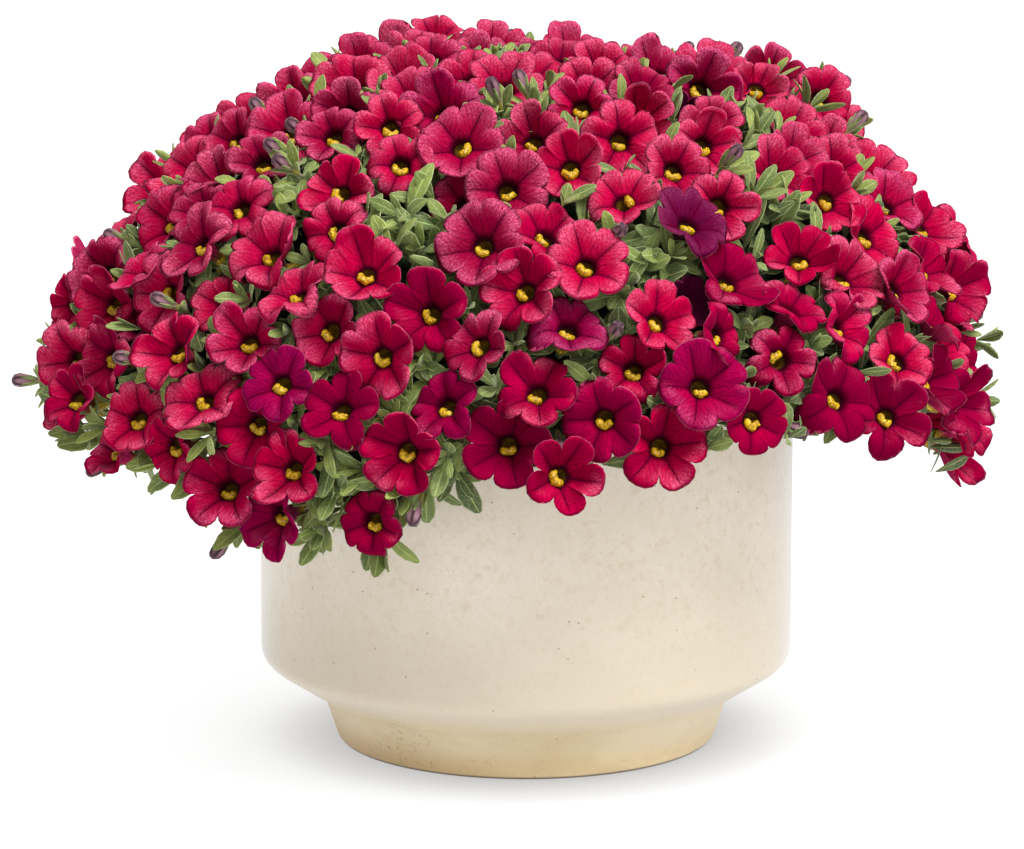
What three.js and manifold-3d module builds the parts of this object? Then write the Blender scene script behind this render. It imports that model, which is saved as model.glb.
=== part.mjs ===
// A calibrachoa in full bloom, planted in a round stoneware pot.
// Twenty-four leafy shoots stand in the potting soil and spread into one mound. The end of each
// shoot is a dense cushion of leaves that carries a bunch of small five-lobed trumpet blooms.
// Millimetres, +Z up. The origin is the centre of the pot's flat underside, +X is to the right
// and -Y is the front, over which the longest shoots hang.
import * as THREE from "three";
import { mergeVertices } from "three/addons/utils/BufferGeometryUtils.js";
import Module from "manifold-3d";

const wasm = await Module();
wasm.setup();

const UP = new THREE.Vector3(0, 0, 1);
const FULL_TURN = 2 * Math.PI;
const radians = THREE.MathUtils.degToRad;

// Clearance between neighbouring solids.
const FIT_GAP = 0.4;

// ---------- Pot: a straight wall, a slope under it and a narrower, tapered foot ----------
const POT_RADIUS = 100;
const POT_HEIGHT = 148;
const WALL = 6;
const RIM_ROUND = 1.6;
const HEEL_HEIGHT = 31.7; // where the wall's line meets the slope's
const HEEL_ROUND = 2.7;
const NECK_RADIUS = 76.8; // where the slope meets the foot
const NECK_HEIGHT = 16.8;
const FOOT_BASE_RADIUS = 71.5;
const FOOT_EDGE = 1.2;
const FLOOR = 9;
const POT_SIDES = 30;

// ---------- Soil ----------
const SOIL_TOP = 134;

// ---------- Mound: the surface on which the blooms' faces lie ----------
// It is measured from the heart of the plant, a point on the pot's axis.
const HEART = new THREE.Vector3(0, 0, 110);
const SIDE_REACH = 175;
const TOP_REACH = 146;
const DEPTH_SHARE = 0.95; // front and back reach, against left and right
const SQUARENESS = 2.15; // 2 is an ellipsoid, and more is fuller at the shoulders
const TUCK_BELOW = radians(9); // lower than this, the skirt draws in
const TUCK_RATE = 60; // mm per radian
// Tufts that stand out of the even mound, by azimuth and elevation in degrees.
const TUFTS = [
  { azimuth: 180, elevation: 0, stands: 18, spread: 16 },
  { azimuth: 178, elevation: 18, stands: 5, spread: 10 },
  { azimuth: 135, elevation: 72, stands: 12, spread: 15 },
  { azimuth: 0, elevation: 22, stands: 15, spread: 9 },
  { azimuth: 8, elevation: 52, stands: 16, spread: 8 },
];

// ---------- Shoots: tiers from the hanging skirt to the crown ----------
// Azimuths run anticlockwise from the front, -90 degrees.
const TIERS = [
  { elevations: [21, 22, 22, 12, 18, 19, 20, 19, 18, 20, 18, 11], turn: 0, hole: 80, arch: 34 },
  { elevations: Array(8).fill(47), turn: 22, hole: 51, arch: 0 },
  { elevations: Array(4).fill(72), turn: 45, hole: 24, arch: 0 },
];
const SKIRT_HALF = 13.5; // degrees from a skirt shoot's middle down to its lowest blooms
const CUSHION_HALF = 10; // and down to the lower edge of its leaf cushion
const STEM_RADIUS = 1.9;
const STEM_SIDES = 3;
const STEM_STEPS = 4;
const STEM_IN_SOIL = 30;
const STEM_STRAIGHT = 10; // above the soil, before the stem bends
const STEM_PULL = 46; // length of the handles of the stem's bend
const HOLE_RADIUS = STEM_RADIUS + 2 * FIT_GAP;

// ---------- Leaf cushions: the dense inner foliage, from which leaves and buds stand out ----------
const CUSHION_BELOW = 16.5; // from the blooms' faces down to the cushion
const CUSHION_DEPTH = 10;
const CUSHION_MARGIN = 0.003; // radians kept inside the edge of the shoot's territory

// ---------- Blooms ----------
const BLOOM_COUNT = 303; // over the whole mound down to its lowest elevation
const LOWEST = radians(-6);
const BLOOM_RADIUS = 14;
const BLOOM_STRAY = 2.5; // mm off the even spiral
const BLOOM_LEVELS = [0, 2, -2, 4, -4, 6, -6, 8, 10]; // mm, tried in turn to layer the petals
const BLOOM_NEIGHBOURS = radians(17);
const GOLDEN_ANGLE = Math.PI * (3 - Math.sqrt(5));
const LOBES = 5;
const LOBE_HALF_WIDTH = radians(19);
const NOTCH_SHARE = 0.74; // radius at the notch between two lobes
const THROAT_DEPTH = 4.4;
const TUBE_TOP_DEPTH = 6.6;
const TUBE_TOP_RADIUS = 2.4;
const TUBE_SIDES = 3;
const TUBE_SUNK = 3;
const TUBE_FOOT_VOLUME = 12; // mm3, more than a tube's foot takes up in its cluster
const TUBE_FOOT_SHARE = 0.45; // how far the tubes' feet spread, against the blooms
const CLUSTER_SHARE = 0.68; // of the way to the cushion's corners
const CLUSTER_THICKNESS = 3.6;

// ---------- Leaves and buds ----------
const LEAVES_PER_SHOOT = 5;
const LEAF_LENGTHS = [24, 30];
const LEAF_WIDTH = 5.6;
const LEAF_THICKNESS = 0.9;
const BUDS_PER_SHOOT = 1;
const BUD_LENGTHS = [20, 26];
const BUD_RADIUS = 1.9;
const ROOT_DEPTH = 3.5; // how deep leaves and buds are sunk in the cushion
const SPRIG_LEAN = 0.55; // off the way outward
const SPRIG_MARGIN = 0.03; // radians from the cushion's edge
const SPRIG_TRIES = 40;
const SPRIG_NEIGHBOURS = radians(36);

const COLOURS = {
  pot: { color: 0xe3d9c8, roughness: 0.45 },
  soil: { color: 0x3a2b20, roughness: 1.0 },
  foliage: { color: 0x6f8350, roughness: 0.8 },
  blooms: { color: 0xbf1146, roughness: 0.6 },
};

// A repeatable stream of numbers from 0 to 1.
function seeded(seed) {
  let state = seed;
  return () => {
    state = (Math.imul(state, 1664525) + 1013904223) >>> 0;
    return state / 4294967296;
  };
}

const spread = (random, low, high) => low + (high - low) * random();
const anySway = (random) =>
  new THREE.Vector3(spread(random, -1, 1), spread(random, -1, 1), spread(random, -1, 1));

// A unit vector from an azimuth and an elevation in degrees.
function toward(azimuth, elevation) {
  const a = radians(azimuth);
  const e = radians(elevation);
  return new THREE.Vector3(Math.cos(e) * Math.cos(a), Math.cos(e) * Math.sin(a), Math.sin(e));
}

const fromHeart = (direction, distance) => HEART.clone().addScaledVector(direction, distance);

// ---------- Solids and meshes ----------

function solid(vertices, triangles) {
  return new wasm.Manifold(
    new wasm.Mesh({
      numProp: 3,
      vertProperties: new Float32Array(vertices.flatMap((v) => [v.x, v.y, v.z])),
      triVerts: new Uint32Array(triangles.flat()),
    }),
  );
}

function solidOfGeometry(geometry) {
  geometry.deleteAttribute("normal");
  geometry.deleteAttribute("uv");
  const merged = mergeVertices(geometry, 1e-3);
  return new wasm.Manifold(
    new wasm.Mesh({
      numProp: 3,
      vertProperties: merged.attributes.position.array,
      triVerts: new Uint32Array(merged.index.array),
    }),
  );
}

function meshOf(made, name, look) {
  const { vertProperties, triVerts } = made.getMesh();
  const geometry = new THREE.BufferGeometry();
  geometry.setAttribute("position", new THREE.BufferAttribute(vertProperties, 3));
  geometry.setIndex(new THREE.BufferAttribute(triVerts, 1));
  geometry.computeVertexNormals();
  const material = new THREE.MeshStandardMaterial({ ...look, metalness: 0, flatShading: true });
  const mesh = new THREE.Mesh(geometry, material);
  mesh.name = name;
  return mesh;
}

const join = (solids) => solids.reduce((all, one) => all.add(one));
const meet = (a, b) => a.intersect(b).volume() > 1e-6;

// ---------- Pot ----------

// The wall turns under in a short curve and slopes in to the foot. The cavity follows the outside, a
// wall's thickness from it, which takes these shares of the thickness at the heel, neck and floor.
function potProfile() {
  const inner = POT_RADIUS - WALL;
  const point = (r, z) => new THREE.Vector2(r, z);
  const heel = point(POT_RADIUS, HEEL_HEIGHT);
  const neck = point(NECK_RADIUS, NECK_HEIGHT);
  const under = neck.clone().sub(heel).setLength(HEEL_ROUND).add(heel);
  const above = point(POT_RADIUS, HEEL_HEIGHT + HEEL_ROUND);
  return [
    point(0, 0),
    point(FOOT_BASE_RADIUS - FOOT_EDGE, 0),
    point(FOOT_BASE_RADIUS, FOOT_EDGE),
    neck,
    ...new THREE.QuadraticBezierCurve(under, heel, above).getPoints(3),
    point(POT_RADIUS, POT_HEIGHT - RIM_ROUND),
    point(POT_RADIUS - RIM_ROUND, POT_HEIGHT),
    point(inner + RIM_ROUND, POT_HEIGHT),
    point(inner, POT_HEIGHT - RIM_ROUND),
    point(inner, HEEL_HEIGHT + 0.55 * WALL),
    point(NECK_RADIUS - 0.83 * WALL, NECK_HEIGHT + 0.65 * WALL),
    point(FOOT_BASE_RADIUS - 0.62 * WALL, FLOOR),
    point(0, FLOOR),
  ];
}

function turned(profile, sides) {
  return solidOfGeometry(new THREE.LatheGeometry(profile, sides).rotateX(Math.PI / 2));
}

// ---------- Soil ----------

// It fills the pot's cavity, clear of the wall and floor.
function soilProfile() {
  const [wallFoot, neck, floorEdge] = potProfile().slice(-4, -1);
  const point = (r, z) => new THREE.Vector2(r, z);
  return [
    point(0, FLOOR + FIT_GAP),
    point(floorEdge.x - FIT_GAP, FLOOR + FIT_GAP),
    point(neck.x - FIT_GAP, neck.y),
    point(wallFoot.x - FIT_GAP, wallFoot.y),
    point(wallFoot.x - FIT_GAP, SOIL_TOP),
    point(0, SOIL_TOP),
  ];
}

// A plain hole for a shoot's stem, open at the soil's surface.
function stemHole(shoot) {
  const foot = stemPath(shoot).getPoint(0);
  const depth = STEM_IN_SOIL + 2 * FIT_GAP;
  const hole = new THREE.CylinderGeometry(HOLE_RADIUS, HOLE_RADIUS, 2 * depth, STEM_SIDES);
  hole.rotateX(Math.PI / 2);
  hole.translate(foot.x, foot.y, SOIL_TOP);
  return solidOfGeometry(hole);
}

// ---------- The mound and its shoots ----------

const tufts = TUFTS.map(({ azimuth, elevation, stands, spread }) => ({
  middle: toward(azimuth, elevation),
  stands,
  spread: radians(spread),
}));

// Distance from the heart to the blooms' faces along a direction.
function reach(direction) {
  const level = Math.hypot(direction.x, direction.y / DEPTH_SHARE) / SIDE_REACH;
  const height = Math.abs(direction.z) / TOP_REACH;
  let far = (level ** SQUARENESS + height ** SQUARENESS) ** (-1 / SQUARENESS);
  for (const tuft of tufts) {
    far += tuft.stands * Math.exp(-((direction.angleTo(tuft.middle) / tuft.spread) ** 2));
  }
  return far - TUCK_RATE * Math.max(0, TUCK_BELOW - Math.asin(direction.z));
}

const shoots = TIERS.flatMap((tier) =>
  tier.elevations.map((elevation, i) => {
    const azimuth = -90 + tier.turn + (i * 360) / tier.elevations.length;
    const axis = toward(azimuth, elevation);
    const across = elevation === 90 ? new THREE.Vector3(1, 0, 0) : UP.clone().cross(axis).normalize();
    return { azimuth, elevation, axis, across, along: axis.clone().cross(across), tier };
  }),
);

// Directions just under the skirt close the lowest shoots' territory from below.
const underSkirt = (half) =>
  shoots
    .filter((shoot) => shoot.tier === TIERS[0])
    .map((shoot) => toward(shoot.azimuth, shoot.elevation - 2 * half));
const allAxes = [...shoots.map((shoot) => shoot.axis), ...underSkirt(SKIRT_HALF)];
const cushionAxes = [...shoots.map((shoot) => shoot.axis), ...underSkirt(CUSHION_HALF)];

// Each shoot owns the directions nearer to its axis than to any other. The corners of that
// territory come from a wide square on the plane that touches the unit sphere at the axis, cut by
// a line for each other axis.
function territory({ axis, across, along }, axes) {
  let corners = [[-1, -1], [1, -1], [1, 1], [-1, 1]].map(([x, y]) =>
    axis.clone().addScaledVector(across, x).addScaledVector(along, y),
  );
  for (const other of axes) {
    if (other === axis) continue;
    const inward = axis.clone().sub(other);
    const inside = (p) => p.dot(inward);
    corners = corners.flatMap((p, i) => {
      const q = corners[(i + 1) % corners.length];
      const kept = inside(p) >= 0 ? [p] : [];
      if (inside(p) * inside(q) < 0) {
        kept.push(p.clone().lerp(q, inside(p) / (inside(p) - inside(q))));
      }
      return kept;
    });
  }
  return corners.filter((p, i) => p.distanceTo(corners[(i + 1) % corners.length]) > 0.02);
}

for (const shoot of shoots) {
  shoot.territory = territory(shoot, allAxes);
  shoot.ground = territory(shoot, cushionAxes);
}

// A direction between the shoot's axis and the edge of its cushion. The turn goes once round the
// edge from 0 to 1, and the margin is kept at the edge, in radians.
function directionAt(shoot, turn, share, margin = 0) {
  const corners = shoot.ground;
  const along = (turn - Math.floor(turn)) * corners.length;
  const k = Math.floor(along);
  const edge = corners[k].clone().lerp(corners[(k + 1) % corners.length], along - k);
  const out = edge.sub(shoot.axis);
  return shoot.axis.clone().addScaledVector(out, share * (1 - margin / out.length())).normalize();
}

const nearestAxis = (direction) =>
  allAxes.reduce((best, axis) => (axis.dot(direction) > best.dot(direction) ? axis : best));

// The shift that brings points back inside the shoot's territory, clear of its sides.
function shiftInside(shoot, points, clearance) {
  const shift = new THREE.Vector3();
  for (let pass = 0; pass < 4; pass++) {
    for (const axis of allAxes) {
      if (axis === shoot.axis) continue;
      const inward = shoot.axis.clone().sub(axis).normalize();
      const clear = Math.min(...points.map((p) => p.clone().sub(HEART).add(shift).dot(inward)));
      if (clear < clearance) shift.addScaledVector(inward, clearance - clear);
    }
  }
  return shift;
}

// ---------- Stems and leaf cushions ----------

function stemPath(shoot) {
  const { tier, axis } = shoot;
  const level = new THREE.Vector3(axis.x, axis.y, 0);
  if (level.lengthSq() > 1e-9) level.normalize();
  const foot = level.clone().multiplyScalar(tier.hole).setZ(SOIL_TOP - STEM_IN_SOIL);
  const bend = foot.clone().setZ(SOIL_TOP + STEM_STRAIGHT);
  const end = fromHeart(axis, reach(axis) - CUSHION_BELOW - CUSHION_DEPTH + ROOT_DEPTH);
  const path = new THREE.CurvePath();
  path.add(new THREE.LineCurve3(foot, bend));
  path.add(
    new THREE.CubicBezierCurve3(
      bend,
      bend.clone().addScaledVector(UP, STEM_PULL),
      end.clone().addScaledVector(axis, -STEM_PULL).addScaledVector(UP, tier.arch),
      end,
    ),
  );
  return path;
}

function stemSolid(shoot) {
  const section = new THREE.Shape();
  for (let i = 0; i < STEM_SIDES; i++) {
    const a = (i / STEM_SIDES) * FULL_TURN;
    section[i ? "lineTo" : "moveTo"](STEM_RADIUS * Math.cos(a), STEM_RADIUS * Math.sin(a));
  }
  const options = { steps: STEM_STEPS, bevelEnabled: false, extrudePath: stemPath(shoot) };
  return solidOfGeometry(new THREE.ExtrudeGeometry(section, options));
}

const outward = (point, distance) =>
  point.clone().addScaledVector(point.clone().sub(HEART).normalize(), distance);

// A slab with a fan of facets above, from its top point to its corners, and one below.
function slabOf(top, corners, thickness) {
  const upper = [top, ...corners];
  const lower = upper.map((point) => outward(point, -thickness));
  const n = corners.length;
  const triangles = [];
  for (let k = 1; k <= n; k++) {
    const next = 1 + (k % n);
    const [under, underNext] = [n + 1 + k, n + 1 + next];
    triangles.push([0, k, next], [n + 1, underNext, under]);
    triangles.push([k, under, next], [next, under, underNext]);
  }
  return { top, corners, shape: solid([...upper, ...lower], triangles) };
}

// The dense inner foliage under the shoot's own ground.
function cushionOf(shoot) {
  const at = (direction) => fromHeart(direction, reach(direction) - CUSHION_BELOW);
  const n = shoot.ground.length;
  const corners = shoot.ground.map((_, k) => at(directionAt(shoot, k / n, 1, CUSHION_MARGIN)));
  return slabOf(at(shoot.axis), corners, CUSHION_DEPTH);
}

// The flat knot in which the tubes of a bunch come together. It follows the cushion's facets.
function clusterOf({ cushion }) {
  const raised = (point) => outward(point, FIT_GAP + CLUSTER_THICKNESS);
  const corners = cushion.corners.map((corner) =>
    raised(cushion.top.clone().lerp(corner, CLUSTER_SHARE)),
  );
  return slabOf(raised(cushion.top), corners, CLUSTER_THICKNESS);
}

// The distance from the heart to the outer face of a slab along a direction.
function outerReach({ top, corners }, direction) {
  const ray = new THREE.Ray(HEART, direction);
  const hit = new THREE.Vector3();
  for (let k = 0; k < corners.length; k++) {
    const next = corners[(k + 1) % corners.length];
    if (ray.intersectTriangle(top, corners[k], next, false, hit)) return hit.distanceTo(HEART);
  }
  return reach(direction) - CUSHION_BELOW;
}

// ---------- Blooms ----------

// Elevations from the crown down that cut the mound's surface into rings of equal area, one for
// each bloom.
function ringElevations(count) {
  const steps = 96;
  const step = (Math.PI / 2 - LOWEST) / steps;
  const plainReach = (e) =>
    ((Math.cos(e) / SIDE_REACH) ** SQUARENESS + (Math.abs(Math.sin(e)) / TOP_REACH) ** SQUARENESS) **
    (-1 / SQUARENESS);
  const areas = [0];
  for (let i = 0; i < steps; i++) {
    const e = Math.PI / 2 - (i + 0.5) * step;
    const slope = (plainReach(e + step / 2) - plainReach(e - step / 2)) / step;
    areas.push(areas[i] + plainReach(e) * Math.cos(e) * Math.hypot(plainReach(e), slope));
  }
  return Array.from({ length: count }, (_, k) => {
    const area = ((k + 0.5) / count) * areas[steps];
    const i = areas.findIndex((a) => a > area) - 1;
    return Math.PI / 2 - (i + (area - areas[i]) / (areas[i + 1] - areas[i])) * step;
  });
}

// The blooms lie in one wide spiral over the mound, a golden angle apart, each a little astray
// and tipped its own way. Each belongs to the shoot whose territory it lies in.
function arrangeBlooms() {
  const random = seeded(20251);
  return ringElevations(BLOOM_COUNT).flatMap((elevation, k) => {
    const even = toward(THREE.MathUtils.radToDeg(k * GOLDEN_ANGLE), THREE.MathUtils.radToDeg(elevation));
    const direction = even.addScaledVector(anySway(random), BLOOM_STRAY / SIDE_REACH).normalize();
    const facing = direction
      .clone()
      .addScaledVector(UP, 0.12)
      .addScaledVector(anySway(random), 0.3)
      .normalize();
    const radius = BLOOM_RADIUS * spread(random, 0.88, 1.1);
    const spin = random() * FULL_TURN;
    const shoot = shoots.find((one) => one.axis === nearestAxis(direction));
    return shoot ? [{ shoot, direction, facing, radius, spin, centre: null }] : [];
  });
}

// Two directions square to the way a bloom faces, turned by its spin.
function bloomPlane({ facing, spin }) {
  const first = Math.abs(facing.z) > 0.9 ? new THREE.Vector3(1, 0, 0) : UP;
  const a = first.clone().cross(facing).normalize();
  const b = facing.clone().cross(a);
  return [
    a.clone().multiplyScalar(Math.cos(spin)).addScaledVector(b, Math.sin(spin)),
    b.clone().multiplyScalar(Math.cos(spin)).addScaledVector(a, -Math.sin(spin)),
  ];
}

// Three rim points to a lobe: its two rounded corners and the notch beside it.
function rimOf(bloom) {
  const [a, b] = bloomPlane(bloom);
  const at = (angle, radius) =>
    bloom.centre
      .clone()
      .addScaledVector(a, radius * Math.cos(angle))
      .addScaledVector(b, radius * Math.sin(angle));
  return Array.from({ length: LOBES }, (_, lobe) => {
    const middle = (lobe / LOBES) * FULL_TURN;
    return [
      at(middle - LOBE_HALF_WIDTH, bloom.radius),
      at(middle + LOBE_HALF_WIDTH, bloom.radius),
      at(middle + Math.PI / LOBES, bloom.radius * NOTCH_SHARE),
    ];
  }).flat();
}

// A shallow five-lobed dish that narrows behind into a tube with its foot in the cluster.
function bloomSolid(bloom, slide = 0) {
  const { centre, facing, direction, shoot } = bloom;
  const foot = shoot.axis.clone().lerp(direction, TUBE_FOOT_SHARE).normalize();
  const [a, b] = bloomPlane(bloom);
  const rim = rimOf(bloom);
  const seat = fromHeart(foot, outerReach(shoot.cluster, foot) - TUBE_SUNK);
  const tube = Array.from({ length: TUBE_SIDES }, (_, j) => {
    const angle = ((j + 0.5) / TUBE_SIDES) * FULL_TURN;
    return centre
      .clone()
      .addScaledVector(facing, -TUBE_TOP_DEPTH)
      .addScaledVector(a, TUBE_TOP_RADIUS * Math.cos(angle))
      .addScaledVector(b, TUBE_TOP_RADIUS * Math.sin(angle));
  });
  const vertices = [...rim, centre.clone().addScaledVector(facing, -THROAT_DEPTH), ...tube, seat];
  for (const v of vertices.slice(0, -1)) v.addScaledVector(facing, slide);
  const n = rim.length;
  const throat = n;
  const tubeVertex = (i) => n + 1 + (Math.floor((i * TUBE_SIDES) / n) % TUBE_SIDES);
  const triangles = [];
  for (let i = 0; i < n; i++) {
    const next = (i + 1) % n;
    triangles.push([throat, i, next], [next, i, tubeVertex(i)]);
    if (tubeVertex(i) !== tubeVertex(i + 1)) {
      triangles.push([next, tubeVertex(i), tubeVertex(i + 1)]);
    }
  }
  for (let j = 0; j < TUBE_SIDES; j++) {
    triangles.push([n + 1 + ((j + 1) % TUBE_SIDES), n + 1 + j, n + 1 + TUBE_SIDES]);
  }
  return solid(vertices, triangles);
}

// Each bloom stands at the first level at which it is clear of all blooms before it, or failing
// that at one where it crosses none but its own bunch's.
function placeBlooms() {
  const placed = [];
  for (const bloom of arrangeBlooms()) {
    const { shoot, direction } = bloom;
    const near = placed.filter((other) => other.direction.angleTo(direction) < BLOOM_NEIGHBOURS);
    const kin = near.filter((other) => other.shoot === shoot);
    const strangers = near.filter((other) => other.shoot !== shoot);
    let fewest = Infinity;
    for (const level of BLOOM_LEVELS) {
      bloom.centre = fromHeart(direction, reach(direction) + level);
      const made = bloomSolid(bloom);
      const slid = [made, bloomSolid(bloom, FIT_GAP), bloomSolid(bloom, -FIT_GAP)];
      const blocked =
        meet(made, shoot.cushion.shape) ||
        strangers.some((other) => slid.some((one) => meet(one, other.made)));
      if (blocked) continue;
      const pressed = made.intersect(shoot.cluster.shape).volume() > TUBE_FOOT_VOLUME ? 1 : 0;
      const crossed = pressed + kin.filter((other) => meet(made, other.made)).length;
      if (crossed < fewest) {
        fewest = crossed;
        bloom.made = made;
        bloom.level = level;
      }
      if (crossed === 0) break;
    }
    if (bloom.made) placed.push(bloom);
  }
  return placed;
}

// ---------- Leaves and buds ----------

// A blade from its root to its tip: six outline points and a rib above and below, so that it is
// thickest along the middle. Its growth from 0 to 1 sets its length. A wider outline, by the
// extra, serves to test for clearance.
function leafShape(root, lengthwise, sidewise, growth, extra) {
  const rise = lengthwise.clone().cross(sidewise).normalize();
  const length = THREE.MathUtils.lerp(...LEAF_LENGTHS, growth);
  const at = (along, aside, above) =>
    root
      .clone()
      .addScaledVector(lengthwise, along * length + (along === 1 ? extra : 0))
      .addScaledVector(sidewise, aside * (LEAF_WIDTH / 2 + extra))
      .addScaledVector(rise, above);
  const rib = LEAF_THICKNESS / 2 + extra;
  const droop = -0.06 * length;
  const vertices = [
    at(0, 0, 0),
    at(0.4, -0.8, 0),
    at(0.75, -1, droop / 2),
    at(1, 0, droop),
    at(0.75, 1, droop / 2),
    at(0.4, 0.8, 0),
    at(0.6, 0, rib),
    at(0.6, 0, -rib),
  ];
  const triangles = [];
  for (let i = 0; i < 6; i++) {
    const next = (i + 1) % 6;
    triangles.push([6, i, next], [7, next, i]);
  }
  return { vertices, triangles };
}

// A pleated, pointed bud on its stalk, as a four-sided spindle that is widest near its tip.
function budShape(root, lengthwise, sidewise, growth, extra) {
  const rise = lengthwise.clone().cross(sidewise).normalize();
  const length = THREE.MathUtils.lerp(...BUD_LENGTHS, growth);
  const ring = [0, 1, 2, 3].map((q) =>
    root
      .clone()
      .addScaledVector(lengthwise, 0.68 * length)
      .addScaledVector(sidewise, (BUD_RADIUS + extra) * Math.cos((q * Math.PI) / 2))
      .addScaledVector(rise, (BUD_RADIUS + extra) * Math.sin((q * Math.PI) / 2)),
  );
  const tip = root.clone().addScaledVector(lengthwise, length + extra);
  const triangles = [0, 1, 2, 3].flatMap((q) => {
    const next = (q + 1) % 4;
    return [
      [4, q, next],
      [5, next, q],
    ];
  });
  return { vertices: [...ring, tip, root], triangles };
}

// Leaves and buds are rooted round the cushion's edge and kept out of the blooms: each is drawn
// again until it stands clear of them, and left out if it never does.
function sprigsOf(shoot, index, blooms) {
  const random = seeded(90001 + 31 * index);
  const near = blooms.filter((bloom) => bloom.direction.angleTo(shoot.axis) < SPRIG_NEIGHBOURS);
  const obstacles = [shoot.cluster.shape, ...near.map((bloom) => bloom.made)];
  const sprigs = [];
  const wanted = LEAVES_PER_SHOOT + BUDS_PER_SHOOT;
  for (let k = 0; k < wanted; k++) {
    const shapeOf = k < LEAVES_PER_SHOOT ? leafShape : budShape;
    for (let attempt = 0; attempt < SPRIG_TRIES; attempt++) {
      const turn = (k + spread(random, -0.5, 0.5)) / wanted;
      const direction = directionAt(shoot, turn, spread(random, CLUSTER_SHARE, 1), SPRIG_MARGIN);
      const root = fromHeart(direction, outerReach(shoot.cushion, direction) - ROOT_DEPTH);
      const sway = anySway(random);
      const lengthwise = direction.clone().addScaledVector(sway, SPRIG_LEAN).normalize();
      const sidewise = lengthwise.clone().cross(sway).normalize();
      const growth = random();
      root.add(shiftInside(shoot, shapeOf(root, lengthwise, sidewise, growth, FIT_GAP).vertices, 0));
      const wide = shapeOf(root, lengthwise, sidewise, growth, FIT_GAP);
      const room = solid(wide.vertices, wide.triangles);
      if ([...obstacles, ...sprigs].some((other) => meet(room, other))) continue;
      const { vertices, triangles } = shapeOf(root, lengthwise, sidewise, growth, 0);
      sprigs.push(solid(vertices, triangles));
      break;
    }
  }
  return sprigs;
}

// ---------- Assembly ----------

const plant = new THREE.Group();
plant.name = "calibrachoa";
plant.add(meshOf(turned(potProfile(), POT_SIDES), "pot", COLOURS.pot));

let soil = turned(soilProfile(), POT_SIDES);
for (const shoot of shoots) {
  shoot.cushion = cushionOf(shoot);
  shoot.cluster = clusterOf(shoot);
  soil = soil.subtract(stemHole(shoot));
}
plant.add(meshOf(soil, "soil", COLOURS.soil));

const blooms = placeBlooms();
shoots.forEach((shoot, index) => {
  const number = String(index + 1).padStart(2, "0");
  const own = blooms.filter((bloom) => bloom.shoot === shoot);
  const bunch = join([shoot.cluster.shape, ...own.map((bloom) => bloom.made)]);
  const foliage = join([stemSolid(shoot), shoot.cushion.shape, ...sprigsOf(shoot, index, blooms)]);
  plant.add(meshOf(foliage, `shoot_${number}`, COLOURS.foliage));
  plant.add(meshOf(bunch, `blooms_${number}`, COLOURS.blooms));
});

export default plant;
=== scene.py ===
"""A calibrachoa in full bloom in a round stoneware pot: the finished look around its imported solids.

Lengths are in millimetres in the arrays and become metres when a mesh is made, and shaders read
metres. +Z is up, -Y is the front, and the origin is the middle of the pot's underside.
"""

import math

import bpy
import numpy as np
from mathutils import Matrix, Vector


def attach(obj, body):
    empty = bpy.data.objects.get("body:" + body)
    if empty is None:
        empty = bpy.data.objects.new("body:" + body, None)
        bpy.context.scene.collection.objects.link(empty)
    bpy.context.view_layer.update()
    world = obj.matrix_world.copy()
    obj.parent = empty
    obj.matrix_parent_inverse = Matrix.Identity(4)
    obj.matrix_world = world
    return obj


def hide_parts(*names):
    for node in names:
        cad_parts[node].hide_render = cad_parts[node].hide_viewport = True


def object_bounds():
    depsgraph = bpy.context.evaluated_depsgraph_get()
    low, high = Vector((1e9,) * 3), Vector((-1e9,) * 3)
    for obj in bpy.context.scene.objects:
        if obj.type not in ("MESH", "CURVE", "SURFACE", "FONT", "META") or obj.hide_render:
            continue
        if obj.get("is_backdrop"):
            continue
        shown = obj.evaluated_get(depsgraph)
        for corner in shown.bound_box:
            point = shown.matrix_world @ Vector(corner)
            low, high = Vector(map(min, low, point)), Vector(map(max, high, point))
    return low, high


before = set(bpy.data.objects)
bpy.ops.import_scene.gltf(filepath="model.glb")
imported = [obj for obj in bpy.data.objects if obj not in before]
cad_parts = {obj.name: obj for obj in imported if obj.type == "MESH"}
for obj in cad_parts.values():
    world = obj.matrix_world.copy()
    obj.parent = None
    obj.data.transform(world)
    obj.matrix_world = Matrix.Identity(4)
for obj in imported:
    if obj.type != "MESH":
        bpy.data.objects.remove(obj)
CAD_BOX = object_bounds()

# ---------- Camera ----------
# It stands a metre and a half in front of the pot and looks down on it a little, with a long lens.

LOOK_AT = Vector((0.0, 0.0, 0.1182))
CAMERA_RISE = math.radians(10.55)
CAMERA_DISTANCE = 1.5657
LENS = 146.7
FILM_WIDTH = 36.0
FILM_SHIFT = -14 / 1024  # in parts of the film's width: the pot stands a little to the right
FAR_END = 60.0

camera_data = bpy.data.cameras.new("camera")
camera_data.lens = LENS
camera_data.sensor_width = FILM_WIDTH
camera_data.shift_x = FILM_SHIFT
camera_data.clip_end = FAR_END
camera = bpy.data.objects.new("camera", camera_data)
bpy.context.scene.collection.objects.link(camera)
back = Vector((0.0, -math.cos(CAMERA_RISE), math.sin(CAMERA_RISE)))
camera.location = LOOK_AT + back * CAMERA_DISTANCE
camera.rotation_euler = back.to_track_quat("Z", "Y").to_euler()
bpy.context.scene.camera = camera

# ---------- Pot ----------
# One thrown stoneware pot: a straight wall that turns under and slopes in to a narrower, tapered
# foot. It is dipped in a satin cream glaze with fine iron specks, thinner and tan on the foot.

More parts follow.
